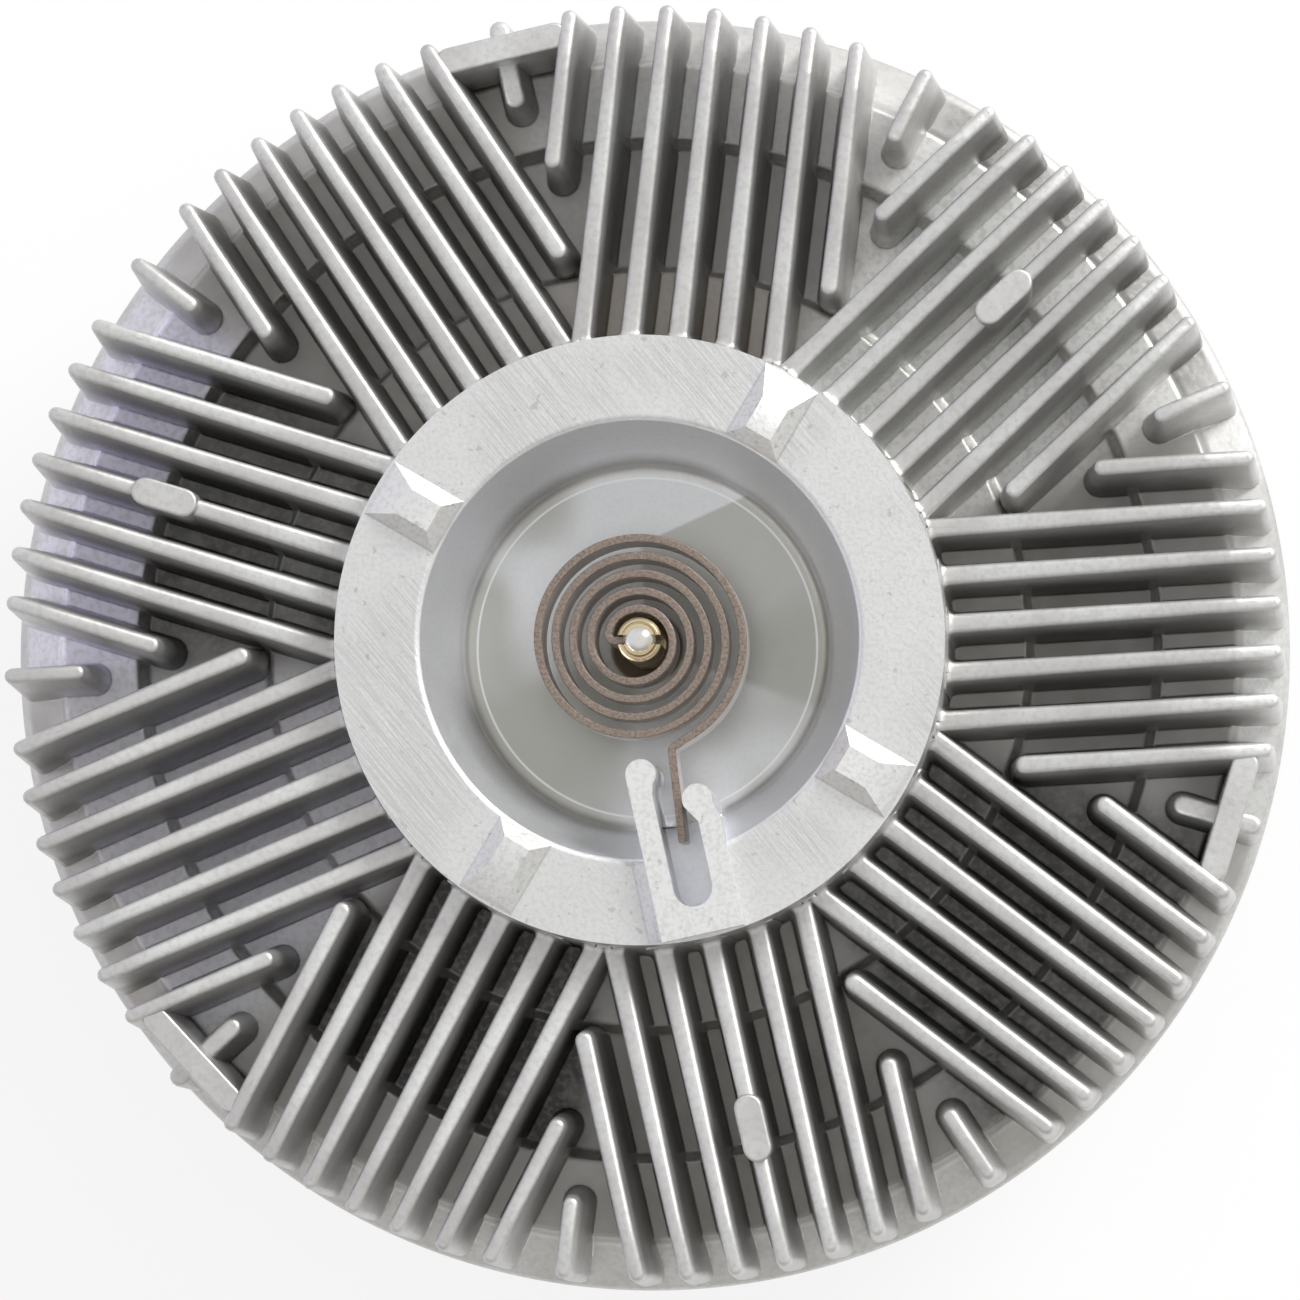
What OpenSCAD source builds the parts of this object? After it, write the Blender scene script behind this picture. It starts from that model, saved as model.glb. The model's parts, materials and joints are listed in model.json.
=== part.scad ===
// Viscous fan clutch: finned cover, bimetal coil and valve, sealed rotor, ball bearing and input shaft.
// Millimetres. Origin at the centre of the shaft's mounting face, +Z along the axis to the coil side.

/* [Cover] */

// Outside diameter of the rim
body_d = 189; // [165:1:220]
// Thickness of the skirt that wraps the rear body
skirt_t = 3.5; // [2.5:0.1:5]
// Height of the lip rolled under the rear body
lip_h = 2.5; // [1.5:0.1:4]
// Reach of the rolled lip towards the axis
lip_reach = 2.5; // [1:0.1:4]
// Height of the upright part of the skirt above the cover's seat
rim_h = 6; // [3:0.1:8]
// Width of the sloped edge outside the floor
rim_slope_w = 7; // [4:0.1:10]
// Width of the flat floor next to the sloped edge
outer_band_w = 12.1; // [8:0.1:16]
// Width of the flat floor next to the ring
inner_band_w = 11.7; // [8:0.1:16]
// Depth of the ring groove between the two flat floors
groove_depth = 4.5; // [2:0.1:6]
// Metal under the ring groove
groove_wall = 3; // [2:0.1:5]
// Slant of the ring groove's walls and of the ring's outer wall
wall_slant = 1; // [0.5:0.1:1.5]
// Width of the step from the floor to the sloped edge
rim_step_w = 1; // [0.5:0.1:2]
// Height of that step
rim_step_h = 3; // [1:0.1:4]
// Chamfer of the rolled lip
lip_chamfer = 1; // [0.5:0.1:1.4]

/* [Fins] */

// Groups of parallel fins around the cover
fin_groups = 9; // [7:1:11]
// Fins on each side of a group's middle fin
fin_side_count = 3; // [2:1:3]
// Distance between neighbouring fins of a group
fin_pitch = 7; // [6:0.1:8]
// Fin width at its top
fin_top_w = 2.1; // [1.5:0.1:3]
// Fin width at the flat floor
fin_base_w = 4.6; // [4:0.1:6]
// Height of the fin tops above the flat floor
fin_h = 20; // [14:0.5:20.2]
// Drop of the fin tops from their crest to the ring
fin_inner_drop = 5.5; // [2:0.1:8]
// Drop of the fin tops from their crest to the rim
fin_outer_drop = 0.8; // [0.4:0.1:5]
// Distance from the rim to the fin crest
fin_crest_inset = 10; // [7:0.5:24]
// Distance from the rim to the blunt ends of the fins
fin_end_inset = 0.8; // [0.3:0.1:2]
// Height of the steep part of a fin's blunt end
fin_end_h = 10; // [4:0.1:14]
// Width of that steep part
fin_end_w = 1.8; // [1:0.1:3]
// Reach of the long fins into the ring
fin_reach = 1.5; // [1:0.1:3]
// Length of the shortest parallel fin
fin_short_len = 26; // [20:0.5:32]
// Length of the longer of the two short fins
fin_mid_len = 39.5; // [33:0.5:44]
// Length of the radial stubs between the groups
stub_len = 14.5; // [10:0.5:18]
// Drop of the stubs that meet a bar
stub_drop = 6; // [3:0.5:8]
// Angle of the first group
fin_angle = 3.1; // [0:0.1:39]
// Length of the bars that join the short fins at the rim
pad_len = 19.5; // [16:0.5:24]
// Width of those bars
pad_w = 3.8; // [3:0.1:5]
// Distance from the rim to the middle of those bars
pad_inset = 6.1; // [5:0.1:8]
// Length of the oblong pads on the middle fins
boss_len = 9.9; // [7:0.1:13]
// Width of the oblong pads
boss_w = 4.1; // [3.4:0.1:5]
// Distance from the rim to the oblong pads
boss_inset = 22.5; // [18:0.5:28]
// Height of the oblong pads above the fin tops
boss_rise = 0.2; // [0.1:0.1:1]

/* [Ring and recess] */

// Outside diameter of the milled ring
ring_od = 88; // [80:0.5:96]
// Inside diameter of the milled ring at its top
ring_id = 63.4; // [58:0.2:68]
// Diameter of the recess floor
recess_d = 50; // [44:0.5:54]
// Depth of the recess below the ring
recess_depth = 20; // [16:0.5:24]
// Metal under the recess floor
recess_floor_t = 3.5; // [2.5:0.1:5]
// Height of the fluid space under the recess floor
reservoir_h = 4.5; // [3.5:0.1:8]
// Metal above the fluid space inside the ring
ring_cap_t = 7; // [5:0.1:10]
// Metal outside the fluid space inside the ring
ring_wall = 3.5; // [3:0.1:5]
// Metal of the recess's sloped wall, measured flat
recess_wall = 3.5; // [2.5:0.1:5]
// Angle of the first of the ring's lugs
lug_angle = 59.5; // [50:0.5:70]
// Height of the lugs above the ring
lug_h = 2.5; // [1.5:0.1:3.5]
// Width of the lugs at the ring
lug_base_w = 8.7; // [7:0.1:11]
// Width of the lugs' flat tops
lug_top_w = 4.1; // [3:0.1:6]
// Distance from the ring's outer edge to the lugs' flat tops
lug_ramp_len = 5; // [4:0.1:5.5]
// Distance from the ring's inner edge to the lugs' flat tops
lug_inner_len = 2.4; // [1:0.1:3]
// Distance from the ring's edges to the lugs
lug_edge = 0.2; // [0.1:0.1:0.6]

/* [Coil anchor] */

// Angle of the anchor block
anchor_angle = -77.5; // [-86:0.1:-66]
// Height of the anchor block above the ring
anchor_rise = 2.5; // [1:0.1:3.5]
// Width of the slot for the coil's tail
anchor_slot_w = 5.65; // [5:0.05:7]
// Distance from the slot's middle to where the coil's tail starts
anchor_tail_offset = 1; // [0:0.1:1.2]
// How far the coil's tail leans back across the slot
anchor_tail_lean = 1.3; // [0:0.1:1.6]
// Metal between the slot's end and the ring's outer edge
anchor_end_wall = 4.6; // [3:0.1:7]
// Thickness of the two fingers
anchor_finger_t = 3.2; // [2.6:0.1:4]
// Length of the longer finger from the ring's outer edge to its rounded tip's centre
anchor_long = 24.8; // [22:0.1:26]
// Length of the shorter finger
anchor_short = 19.6; // [17:0.1:22]
// Radius of the fingers' rounded tips
anchor_tip_r = 2.2; // [1.8:0.05:2.4]
// Width of the sloped side of the anchor block
anchor_side_w = 2.1; // [1.5:0.1:3.5]
// Height of the upright part of that side
anchor_side_h = 0.3; // [0.2:0.1:0.8]
// Step from the shorter finger's side to its tip
anchor_tip_step = 0.5; // [0.2:0.1:0.8]
// Distance from a tip's centre to where its finger has its full form
anchor_neck = 3.2; // [3:0.1:4]
// Distance from the ring's outer edge to the anchor block's outer end
anchor_inset = 0.6; // [0.3:0.1:1.5]

/* [Coil and valve] */

// Thickness of the bimetal strip
coil_t = 1; // [0.8:0.05:1.1]
// Width of the bimetal strip
coil_w = 10; // [8:0.5:12]
// Distance between the coil's turns
coil_pitch = 2.55; // [2.3:0.05:2.7]
// Whole turns of the coil
coil_turns = 4; // [3:1:4]
// Inside bend radius at the strip's two ends, to its middle
coil_bend_r = 0.95; // [0.8:0.05:1.2]
// Length of the coil's tail in the anchor
coil_tail = 13; // [12:0.5:15]
// Shift of the coil's turns from the axis, towards its tab
coil_shift = 0.6; // [0:0.1:0.8]
// Depth of the coil's front edge below the ring
coil_sink = 3; // [2:0.5:5]
// Diameter of the valve shaft
valve_d = 6.4; // [5.8:0.1:7.2]
// Depth of the valve shaft's end below the ring
valve_sink = 1; // [0.5:0.1:3]
// Radial clearance of the valve shaft in the cover
valve_clear = 0.05; // [0.02:0.01:0.09]
// Width of the collar groove around the valve shaft in the recess floor
collar_w = 2.2; // [1:0.1:3]
// Depth of the collar groove
collar_depth = 1.2; // [0.5:0.1:2]
// Chamfer of the valve shaft's end
valve_chamfer = 0.4; // [0.2:0.1:0.5]
// Width of the rim around the valve shaft's end
head_rim_w = 0.75; // [0.5:0.05:0.9]
// Width and depth of the groove inside that rim
head_groove = 0.35; // [0.2:0.05:0.5]
// Diameter of the dome on the valve shaft's end
dome_d = 3.6; // [3:0.1:3.8]
// Height of the dome above the valve shaft's end
dome_rise = 0.8; // [0.4:0.1:0.9]
// Height of the valve shaft's seal
valve_seal_h = 1.8; // [1.2:0.1:2]
// Depth of the seal's groove in the valve shaft
valve_seal_t = 0.8; // [0.5:0.1:1.2]
// Gap between the valve shaft and the coil's first turn
coil_gap = 0.3; // [0.25:0.05:0.8]
// Length of the coil's tab past the axis
coil_tab = 0.8; // [0.5:0.1:1.5]
// Clearance of the strip in the valve shaft's slot, each side
tab_clear = 0.2; // [0.1:0.05:0.3]
// Outside diameter of the boss around the valve shaft
valve_boss_d = 16; // [14:0.5:20]
// Thickness of the valve arm
arm_t = 1; // [0.8:0.1:1.2]
// Gap between the valve arm and what it passes
arm_gap = 0.3; // [0.25:0.05:0.5]
// Distance from the axis to the fill ports
port_r = 33; // [28:0.5:35]
// Diameter of the fill ports
port_d = 5; // [4:0.1:6]
// Metal of the valve arm around a fill port
arm_wall = 2; // [1.5:0.1:3]
// Thickness of the valve plate
plate_t = 1.2; // [1:0.1:2]
// Width of the cover's face that the valve plate is riveted to
plate_seat_w = 10; // [8:0.1:11]
// Diameter of the rivet heads on the valve plate
rivet_head_d = 5; // [4:0.1:6]
// Diameter of the rivets
rivet_d = 2.5; // [2:0.1:3]
// Height of the rivet heads
rivet_head_h = 1; // [0.6:0.1:1.2]
// Rivets around the valve plate
rivet_count = 6; // [4:1:8]

/* [Rotor] */

// Gap between the rotor and the housing, along the axis
rotor_gap = 1; // [0.6:0.1:1.5]
// Gap between the rotor's edge and the housing
rotor_edge_gap = 2; // [1.5:0.1:3]
// Gap between the rotor's edge and the wiper block
wiper_gap = 0.4; // [0.3:0.05:0.6]
// Angle that the wiper block spans on the cover's wall
wiper_angle = 9; // [6:1:14]
// Thickness of the rotor's web
web_t = 4; // [3:0.1:6]
// Height of the rotor's lands
land_h = 8; // [5:0.1:10]
// Thickness of the rotor's lands
land_t = 2.2; // [1.8:0.05:2.4]
// Distance between the rotor's lands
land_pitch = 5; // [4.8:0.1:6]
// Gap between the rotor's lands and the cover's lands
land_gap = 0.3; // [0.25:0.01:0.4]
// Diameter of the rotor's hub
rotor_hub_d = 40; // [34:0.5:42]
// Diameter of the shaft's seat for the rotor
rotor_seat_d = 26; // [22:0.5:29]
// Thickness of the ring that holds the rotor
rotor_ring_t = 1.5; // [1:0.1:2]
// Depth of that ring's groove in the shaft
rotor_ring_depth = 1.2; // [0.8:0.1:1.6]
// Reach of that ring past the shaft
rotor_ring_reach = 2.4; // [1.5:0.1:3]
// Width of that ring's opening
rotor_ring_gap = 6; // [4:0.5:10]
// Shaft past that ring
rotor_ring_end = 0.8; // [0.5:0.1:1]
// Gap between the shaft's end and the valve plate
plate_gap = 1.8; // [1.5:0.1:2.5]
// Diameter of the holes in the rotor's web
web_hole_d = 8; // [6:0.5:10]

/* [Bearing and shaft] */

// Bore of the bearing
bearing_bore = 30; // [28:0.5:34]
// Outside diameter of the bearing
bearing_od = 62; // [60:0.5:68]
// Width of the bearing
bearing_w = 24; // [18:0.5:28]
// Diameter of the bearing's balls
ball_d = 9.5; // [8:0.1:10]
// Balls in the bearing
ball_count = 11; // [8:1:12]
// Clearance between the balls and the races
ball_clear = 0.08; // [0.03:0.01:0.1]
// Gap between the races, as a share of the ball's diameter
race_gap_share = 0.62; // [0.5:0.01:0.7]
// Thickness of the cage
cage_t = 2.8; // [2:0.1:3.4]
// Metal of the cage behind the balls
cage_rim = 1.2; // [1:0.1:2]
// Thickness of the bearing's seals
seal_t = 1.6; // [1:0.1:2.5]
// Depth of the seals below the bearing's faces
seal_inset = 0.5; // [0.2:0.1:1]
// Gap between the seals and the inner race
seal_gap = 0.3; // [0.1:0.05:0.5]
// Thickness of the ring that holds the bearing
snap_t = 1.7; // [1.2:0.1:2.5]
// Depth of that ring's groove in the rear body
snap_depth = 1.2; // [0.8:0.1:2]
// Reach of that ring over the bearing
snap_reach = 2.6; // [1.5:0.1:3]
// Width of that ring's opening
snap_gap = 8; // [5:0.5:12]
// Play of that ring in its groove
snap_play = 0.1; // [0.05:0.05:0.3]
// Metal of the rear body past that ring
snap_end = 0.9; // [0.6:0.1:1.5]
// Diameter of the shaft's mounting flange
flange_d = 76; // [72:0.5:90]
// Thickness of the shaft's mounting flange
flange_t = 7; // [5:0.1:10]
// Pitch circle of the flange's bolt holes
flange_pcd = 57.15; // [54:0.05:60]
// Diameter of the flange's bolt holes
flange_hole_d = 8.8; // [6:0.1:10]
// Diameter of the pilot bore
pilot_d = 15.88; // [12:0.02:18]
// Depth of the pilot bore
pilot_depth = 14; // [8:0.5:16]
// Length of the neck between the flange and the bearing
neck_h = 6; // [5:0.1:10]
// Shoulder of the neck against the bearing's inner race
neck_step = 4; // [2.5:0.1:4.5]
// Chamfer of the flange
flange_chamfer = 0.8; // [0.5:0.1:1.5]
// Chamfer of the shaft's inner end
shaft_chamfer = 0.4; // [0.2:0.1:0.6]

/* [Rear body] */

// Thickness of the rear body's wall
wall_t = 6; // [4:0.1:8]
// Width of the cover's seat on the rear body
seat_w = 7.3; // [6:0.1:9]
// Metal around the bearing
boss_wall = 8; // [6:0.1:10]
// Thickness of the shoulder behind the bearing
shoulder_t = 3; // [2:0.1:5]
// Reach of that shoulder over the bearing's outer race
shoulder_reach = 4; // [2.5:0.1:4.5]
// Chamfer of the rear body's end
boss_chamfer = 1; // [0.5:0.1:2]
// Width of the cover seal
cover_seal_w = 2; // [1.5:0.1:3]
// Depth of the cover seal's groove
cover_seal_h = 2; // [1.5:0.1:3]
// Rear fins
rear_fins = 36; // [24:4:40]
// Thickness of the rear fins
rear_fin_t = 2.4; // [2:0.1:3]
// Height of the rear fins
rear_fin_h = 13; // [8:0.5:15]
// Height of the rear fins at their outer ends
rear_fin_end_h = 3; // [2:0.5:6]
// Length of the slope to those ends
rear_fin_slope = 10; // [6:0.5:16]
// Gap between the rear fins and the rolled lip
rear_fin_gap = 1.5; // [1:0.1:4]
// Height of the fan bosses
fan_boss_h = 18; // [16:0.5:22]
// Diameter of the fan bosses
fan_boss_d = 18; // [15:0.5:20]
// Height of the fan's turned seat above the fan's mounting face
fan_pilot_h = 2; // [1:0.1:4]
// Step from the fan's turned seat to the cast boss
fan_pilot_step = 2; // [1:0.1:3]
// Pitch circle of the fan bosses
fan_pcd = 120; // [110:0.5:130]
// Diameter of the fan's screw holes
fan_hole_d = 6.8; // [5:0.1:8]
// Depth of the fan's screw holes
fan_hole_depth = 14; // [10:0.5:15]

/* [Hidden] */

eps = 0.01;
$fa = 4;
$fs = 0.6;

// Radii that follow from the sizes above
body_r = body_d / 2;
ring_r = ring_od / 2;
seat_r = body_r - skirt_t;
cavity_r = seat_r - seat_w;
rotor_r = cavity_r - rotor_edge_gap;
slope_r = body_r - rim_slope_w;
groove_out = slope_r - outer_band_w;
groove_in = ring_r + inner_band_w;
reservoir_r = ring_r - ring_wall;
plate_r = reservoir_r + plate_seat_w;
valve_r = valve_d / 2;
bore_r = bearing_bore / 2;
outer_r = bearing_od / 2;
ball_r = ball_d / 2;
ball_pitch_r = (bore_r + outer_r) / 2;
race_gap_half = ball_r * race_gap_share;
cage_z = ball_r + cage_rim;
boss_r = outer_r + boss_wall;

// Heights that follow from the stack on the axis
bearing_z = flange_t + neck_h;
ball_z = bearing_z + bearing_w / 2;
shoulder_z = bearing_z + bearing_w;
wall_z = shoulder_z + shoulder_t;
wall_top = wall_z + wall_t;
lip_z = wall_z - lip_h;
web_z = wall_top + rotor_gap;
web_top = web_z + web_t;
seat_z = web_top + rotor_gap;
land_tip = web_top + land_h;
ceiling_z = land_tip + rotor_gap;
plate_z = ceiling_z - plate_t;
arm_z = ceiling_z + arm_gap;
bore_z = arm_z + arm_t + arm_gap;
groove_z = ceiling_z + groove_wall;
band_z = groove_z + groove_depth;
recess_under = ceiling_z + reservoir_h;
recess_z = recess_under + recess_floor_t;
ring_z = recess_z + recess_depth;
crest_z = band_z + fin_h;
coil_top = ring_z - coil_sink;
coil_z = coil_top - coil_w;
valve_top = ring_z - valve_sink;
valve_seal_z = (bore_z + recess_z - collar_depth - valve_seal_h) / 2;
shaft_end = plate_z - plate_gap;
rotor_ring_top = shaft_end - rotor_ring_end;
rotor_top = rotor_ring_top - rotor_ring_t;
snap_z = bearing_z - snap_t;
body_bottom = snap_z - snap_end;
fan_face = wall_z - fan_boss_h;

// Length of the rivets in the cover
rivet_grip = groove_wall;

// Lands: as many as fit outside the valve plate
land_count = floor((rotor_r - plate_r - land_t - rotor_edge_gap) / land_pitch) + 1;
cover_land_t = land_pitch - land_t - 2 * land_gap;

// Fins
group_step = 360 / fin_groups;
fin_end = body_r - fin_end_inset;
fin_crest = body_r - fin_crest_inset;
fin_draft = (fin_base_w - fin_top_w) / 2 / fin_h;
fin_root = groove_z - 1;
fin_foot = seat_z + 2;

// Anchor block, u outwards along its middle and v to the right of it
slot_half = anchor_slot_w / 2;
slot_end_u = ring_r - anchor_end_wall - slot_half;
long_u = ring_r - anchor_long;
short_u = ring_r - anchor_short;
long_v = -slot_half - anchor_finger_t + anchor_tip_r;
short_v = slot_half + anchor_finger_t - anchor_tip_r - anchor_tip_step;
anchor_end = ring_r - anchor_inset;
anchor_half = slot_half + anchor_finger_t;
lug_sunk = 1;
tip_lean = 70;
long_tip_lean = 40;

// Coil
tail_v = anchor_tail_offset;
coil_r0 = valve_r + coil_gap + coil_t / 2;
tail_turn = 180 - anchor_angle;
coil_span = 360 * coil_turns + tail_turn;
coil_r1 = coil_r0 + coil_pitch * coil_span / 360;
shift_u = -coil_shift * cos(anchor_angle);
shift_v = coil_shift * sin(anchor_angle);
tail_lead = atan((tail_v + coil_bend_r - shift_v) / coil_r1);
tab_lead = atan(coil_bend_r / coil_r0);
coil_step = 10;

// Colours
cast_colour = [0.80, 0.80, 0.80];
steel_colour = [0.62, 0.63, 0.65];
brass_colour = [0.80, 0.66, 0.36];
bimetal_colour = [0.56, 0.47, 0.40];
rubber_colour = [0.10, 0.10, 0.11];
cage_colour = [0.70, 0.58, 0.34];

// The node to draw, or "all"

// Shared outlines and helpers

// Points of an arc about (u, v), from angle a to angle b
function arc(u, v, r, a, b, n) =
    [for (i = [0 : n]) let (t = a + (b - a) * i / n) [u + r * cos(t), v + r * sin(t)]];

// Points of a bar with round ends, len along the first axis
function round_bar(len, w) =
    let (half = (len - w) / 2)
    concat(arc(half, 0, w / 2, -90, 90, 8), arc(-half, 0, w / 2, 90, 270, 8));

// Point of the fin group's outline at radius r and offset v, measured along the group
function along(r, v) = sqrt(max(r * r - v * v, 1));

// A solid ring by its radii and heights
module ring_solid(r_in, r_out, z0, z1) {
    rotate_extrude()
        polygon([[r_in, z0], [r_out, z0], [r_out, z1], [r_in, z1]]);
}

// A profile of (u, z) points drawn out evenly to both sides of u
module slab(points, w) {
    rotate([90, 0, 0])
        linear_extrude(height = w, center = true)
            polygon(points);
}

// A profile of (v, z) points drawn out along u from u0 to u1
module bar(points, u0, u1) {
    translate([u0, 0, 0])
        rotate([90, 0, 90])
            linear_extrude(height = u1 - u0)
                polygon(points);
}

// One ring of lands, counted from the rim, as (r, z) points for a downward comb
function cover_land(i) =
    let (r1 = rotor_r - land_t - i * land_pitch - land_gap, r0 = r1 - cover_land_t)
    [[r1, ceiling_z], [r1, seat_z], [r0, seat_z], [r0, ceiling_z]];

// Cover

// Half section of the cover: front face outwards, then the skirt and the inside back to the axis
function cover_section() = concat(
    [
        [valve_r + valve_clear, recess_z - collar_depth], [valve_r + collar_w, recess_z - collar_depth],
        [valve_r + collar_w, recess_z], [recess_d / 2, recess_z],
        [ring_id / 2, ring_z], [ring_r, ring_z],
        [ring_r + wall_slant, band_z], [groove_in, band_z], [groove_in + wall_slant, groove_z],
        [groove_out - wall_slant, groove_z], [groove_out, band_z],
        [slope_r - rim_step_w, band_z], [slope_r, band_z - rim_step_h],
        [body_r, seat_z + rim_h], [body_r, lip_z + lip_chamfer], [body_r - lip_chamfer, lip_z],
        [seat_r - lip_reach, lip_z], [seat_r - lip_reach, wall_z],
        [seat_r, wall_z], [seat_r, seat_z], [cavity_r, seat_z], [cavity_r, ceiling_z]
    ],
    [for (i = [0 : land_count - 2]) each cover_land(i)],
    [
        [reservoir_r, ceiling_z], [reservoir_r, ring_z - ring_cap_t],
        [ring_id / 2 + recess_wall, ring_z - ring_cap_t], [recess_d / 2 + recess_wall, recess_under],
        [valve_boss_d / 2, recess_under], [valve_boss_d / 2, bore_z], [valve_r + valve_clear, bore_z]
    ]
);

// One drafted fin along u at offset v, with its crest, both slopes and a blunt outer end
module fin(v, u0, drop = 0, nose = false) {
    u1 = along(fin_end, abs(v) + fin_top_w / 2);
    crest = min(max(along(fin_crest, v), u0 + fin_base_w), u1 - 2 * fin_end_w);
    rim_u = along(slope_r - fin_end_w, abs(v) + fin_base_w);
    inner_u = along(ring_r, v);
    inner_z = crest_z - fin_inner_drop * (crest - u0) / (crest - inner_u + eps) - drop;
    end_z = crest_z - fin_outer_drop - drop;
    half = fin_top_w / 2;
    foot = half + fin_draft * (crest_z - fin_foot);
    nose_u = nose ? u0 + foot : u0;
    intersection() {
        union() {
            bar([
                [v - foot, fin_foot], [v + foot, fin_foot], [v + half, crest_z], [v - half, crest_z]
            ], nose_u, u1);
            if (nose)
                translate([nose_u, v, fin_foot])
                    cylinder(r1 = foot, r2 = half, h = crest_z - fin_foot);
        }
        translate([0, v, 0])
            slab([
                [u0, fin_root], [rim_u, fin_root], [rim_u, fin_foot], [u1, fin_foot],
                [u1, end_z - fin_end_h], [u1 - fin_end_w, end_z], [crest, crest_z - drop], [u0, inner_z]
            ], 2 * foot + 1);
    }
}

// A group: long fins in the middle and one short fin on each side, with a round nose
module fin_group() {
    for (k = [-fin_side_count : fin_side_count]) {
        v = -k * fin_pitch;
        short_len = k < 0 ? fin_short_len : fin_mid_len;
        long_fin = abs(k) < fin_side_count;
        u0 = long_fin ? along(ring_r - fin_reach, v) : along(fin_end, v) - short_len;
        fin(v, u0, nose = !long_fin);
    }
}

// A bar along the rim that joins the short fins of two groups
module rim_pad() {
    translate([body_r - pad_inset, 0, fin_foot])
        rotate([0, 0, 90])
            linear_extrude(height = crest_z - fin_outer_drop - fin_foot)
                polygon(round_bar(pad_len, pad_w));
}

// An oblong pad on a middle fin
module fin_boss() {
    translate([body_r - boss_inset, 0, fin_root])
        linear_extrude(height = crest_z - fin_root + boss_rise)
            polygon(round_bar(boss_len, boss_w));
}

// All fins, stubs, bars and pads of the cover
module cover_fins() {
    for (g = [0 : fin_groups - 1]) {
        rotate([0, 0, fin_angle + g * group_step])
            fin_group();
        if (g % 3 == 1)
            rotate([0, 0, fin_angle + g * group_step])
                fin_boss();
        rotate([0, 0, fin_angle + (g + 0.5) * group_step]) {
            fin(0, fin_end - stub_len, g % 3 == 2 ? stub_drop : 0, true);
            if (g % 3 == 2)
                rim_pad();
        }
    }
}

// A lug on the ring: a flat top with four sloped sides
module ring_lug() {
    foot_z = ring_z - lug_sunk;
    top_z = ring_z + lug_h;
    half = lug_top_w / 2;
    wide = lug_base_w / 2;
    inner = ring_id / 2 + lug_edge;
    outer = along(ring_r - lug_edge, wide);
    intersection() {
        bar([[-wide, foot_z], [wide, foot_z], [wide, ring_z], [half, top_z], [-half, top_z], [-wide, ring_z]],
            inner - lug_sunk, outer + lug_sunk);
        slab([
            [inner, foot_z], [outer, foot_z], [outer, ring_z], [ring_r - lug_ramp_len, top_z],
            [ring_id / 2 + lug_inner_len, top_z], [inner, ring_z]
        ], lug_base_w + lug_sunk);
    }
}

// Plan of the anchor block: two fingers with round tips on either side of the slot
function anchor_plan() = concat(
    [[anchor_end, anchor_half], [short_u + anchor_neck, anchor_half]],
    arc(short_u, short_v, anchor_tip_r, tip_lean, 360 - tip_lean, 12),
    [[short_u + anchor_neck, slot_half]],
    arc(slot_end_u, 0, slot_half, 90, -90, 12),
    [[long_u + anchor_neck, -slot_half]],
    arc(long_u, long_v, anchor_tip_r, long_tip_lean, 270, 12),
    [[anchor_end, -anchor_half]]
);

// Slot of the anchor block, sunk into the ring as far as the coil's rear edge
module anchor_slot_cut() {
    translate([0, 0, coil_z])
        linear_extrude(height = ring_z - coil_z + 2)
            polygon(concat(
                [[recess_d / 2 - anchor_neck, -slot_half], [recess_d / 2 - anchor_neck, slot_half]],
                arc(slot_end_u, 0, slot_half, 90, -90, 12)
            ));
}

// Sloped side of the anchor block, on the ring
module anchor_side() {
    foot_z = ring_z - lug_sunk;
    foot_v = -anchor_half - anchor_side_w;
    inside_v = -anchor_half + lug_sunk;
    side_z = ring_z + anchor_rise - anchor_side_h;
    bar([
        [foot_v, foot_z], [inside_v, foot_z], [inside_v, side_z], [-anchor_half, side_z], [foot_v, ring_z]
    ], ring_id / 2, along(ring_r - lug_edge, -foot_v));
}

// Metal under the anchor's slot, inside the ring
module anchor_root() {
    root_u = recess_d / 2 + recess_wall / 2;
    root_z = recess_under + recess_floor_t / 2;
    translate([root_u, -anchor_half, root_z])
        cube([reservoir_r + ring_wall / 2 - root_u, 2 * anchor_half, ring_z - ring_cap_t / 2 - root_z]);
}

// Cast front cover with its fins, milled ring, recess and coil anchor
module front_cover() {
    color(cast_colour) {
        difference() {
            union() {
                rotate_extrude()
                    polygon(cover_section());
                cover_fins();
                for (i = [0 : 3])
                    rotate([0, 0, lug_angle + 90 * i])
                        ring_lug();
                rotate([0, 0, anchor_angle]) {
                    anchor_root();
                    anchor_side();
                }
            }
            rotate([0, 0, anchor_angle])
                anchor_slot_cut();
            for (i = [0 : rivet_count - 1])
                rotate([0, 0, 360 / rivet_count * i])
                    translate([reservoir_r + plate_seat_w / 2, 0, ceiling_z - 1])
                        cylinder(d = rivet_d, h = 1 + rivet_grip);
        }
        rotate([0, 0, anchor_angle])
            translate([0, 0, recess_z - recess_floor_t / 2])
                linear_extrude(height = recess_depth + recess_floor_t / 2 + anchor_rise)
                    polygon(anchor_plan());
    }
}

// Rear body

// Half section of the rear body, from the bearing's bore round the outside
function body_section() = [
    [outer_r, body_bottom], [boss_r - boss_chamfer, body_bottom], [boss_r, body_bottom + boss_chamfer],
    [boss_r, fan_face + fan_pilot_h], [boss_r + fan_pilot_step, fan_face + fan_pilot_h],
    [boss_r + fan_pilot_step, wall_z], [seat_r, wall_z], [seat_r, seat_z],
    [cavity_r, seat_z], [cavity_r, wall_top], [outer_r - shoulder_reach, wall_top],
    [outer_r - shoulder_reach, shoulder_z], [outer_r, shoulder_z], [outer_r, bearing_z],
    [outer_r + snap_depth, bearing_z], [outer_r + snap_depth, snap_z - snap_play],
    [outer_r, snap_z - snap_play]
];

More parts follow.
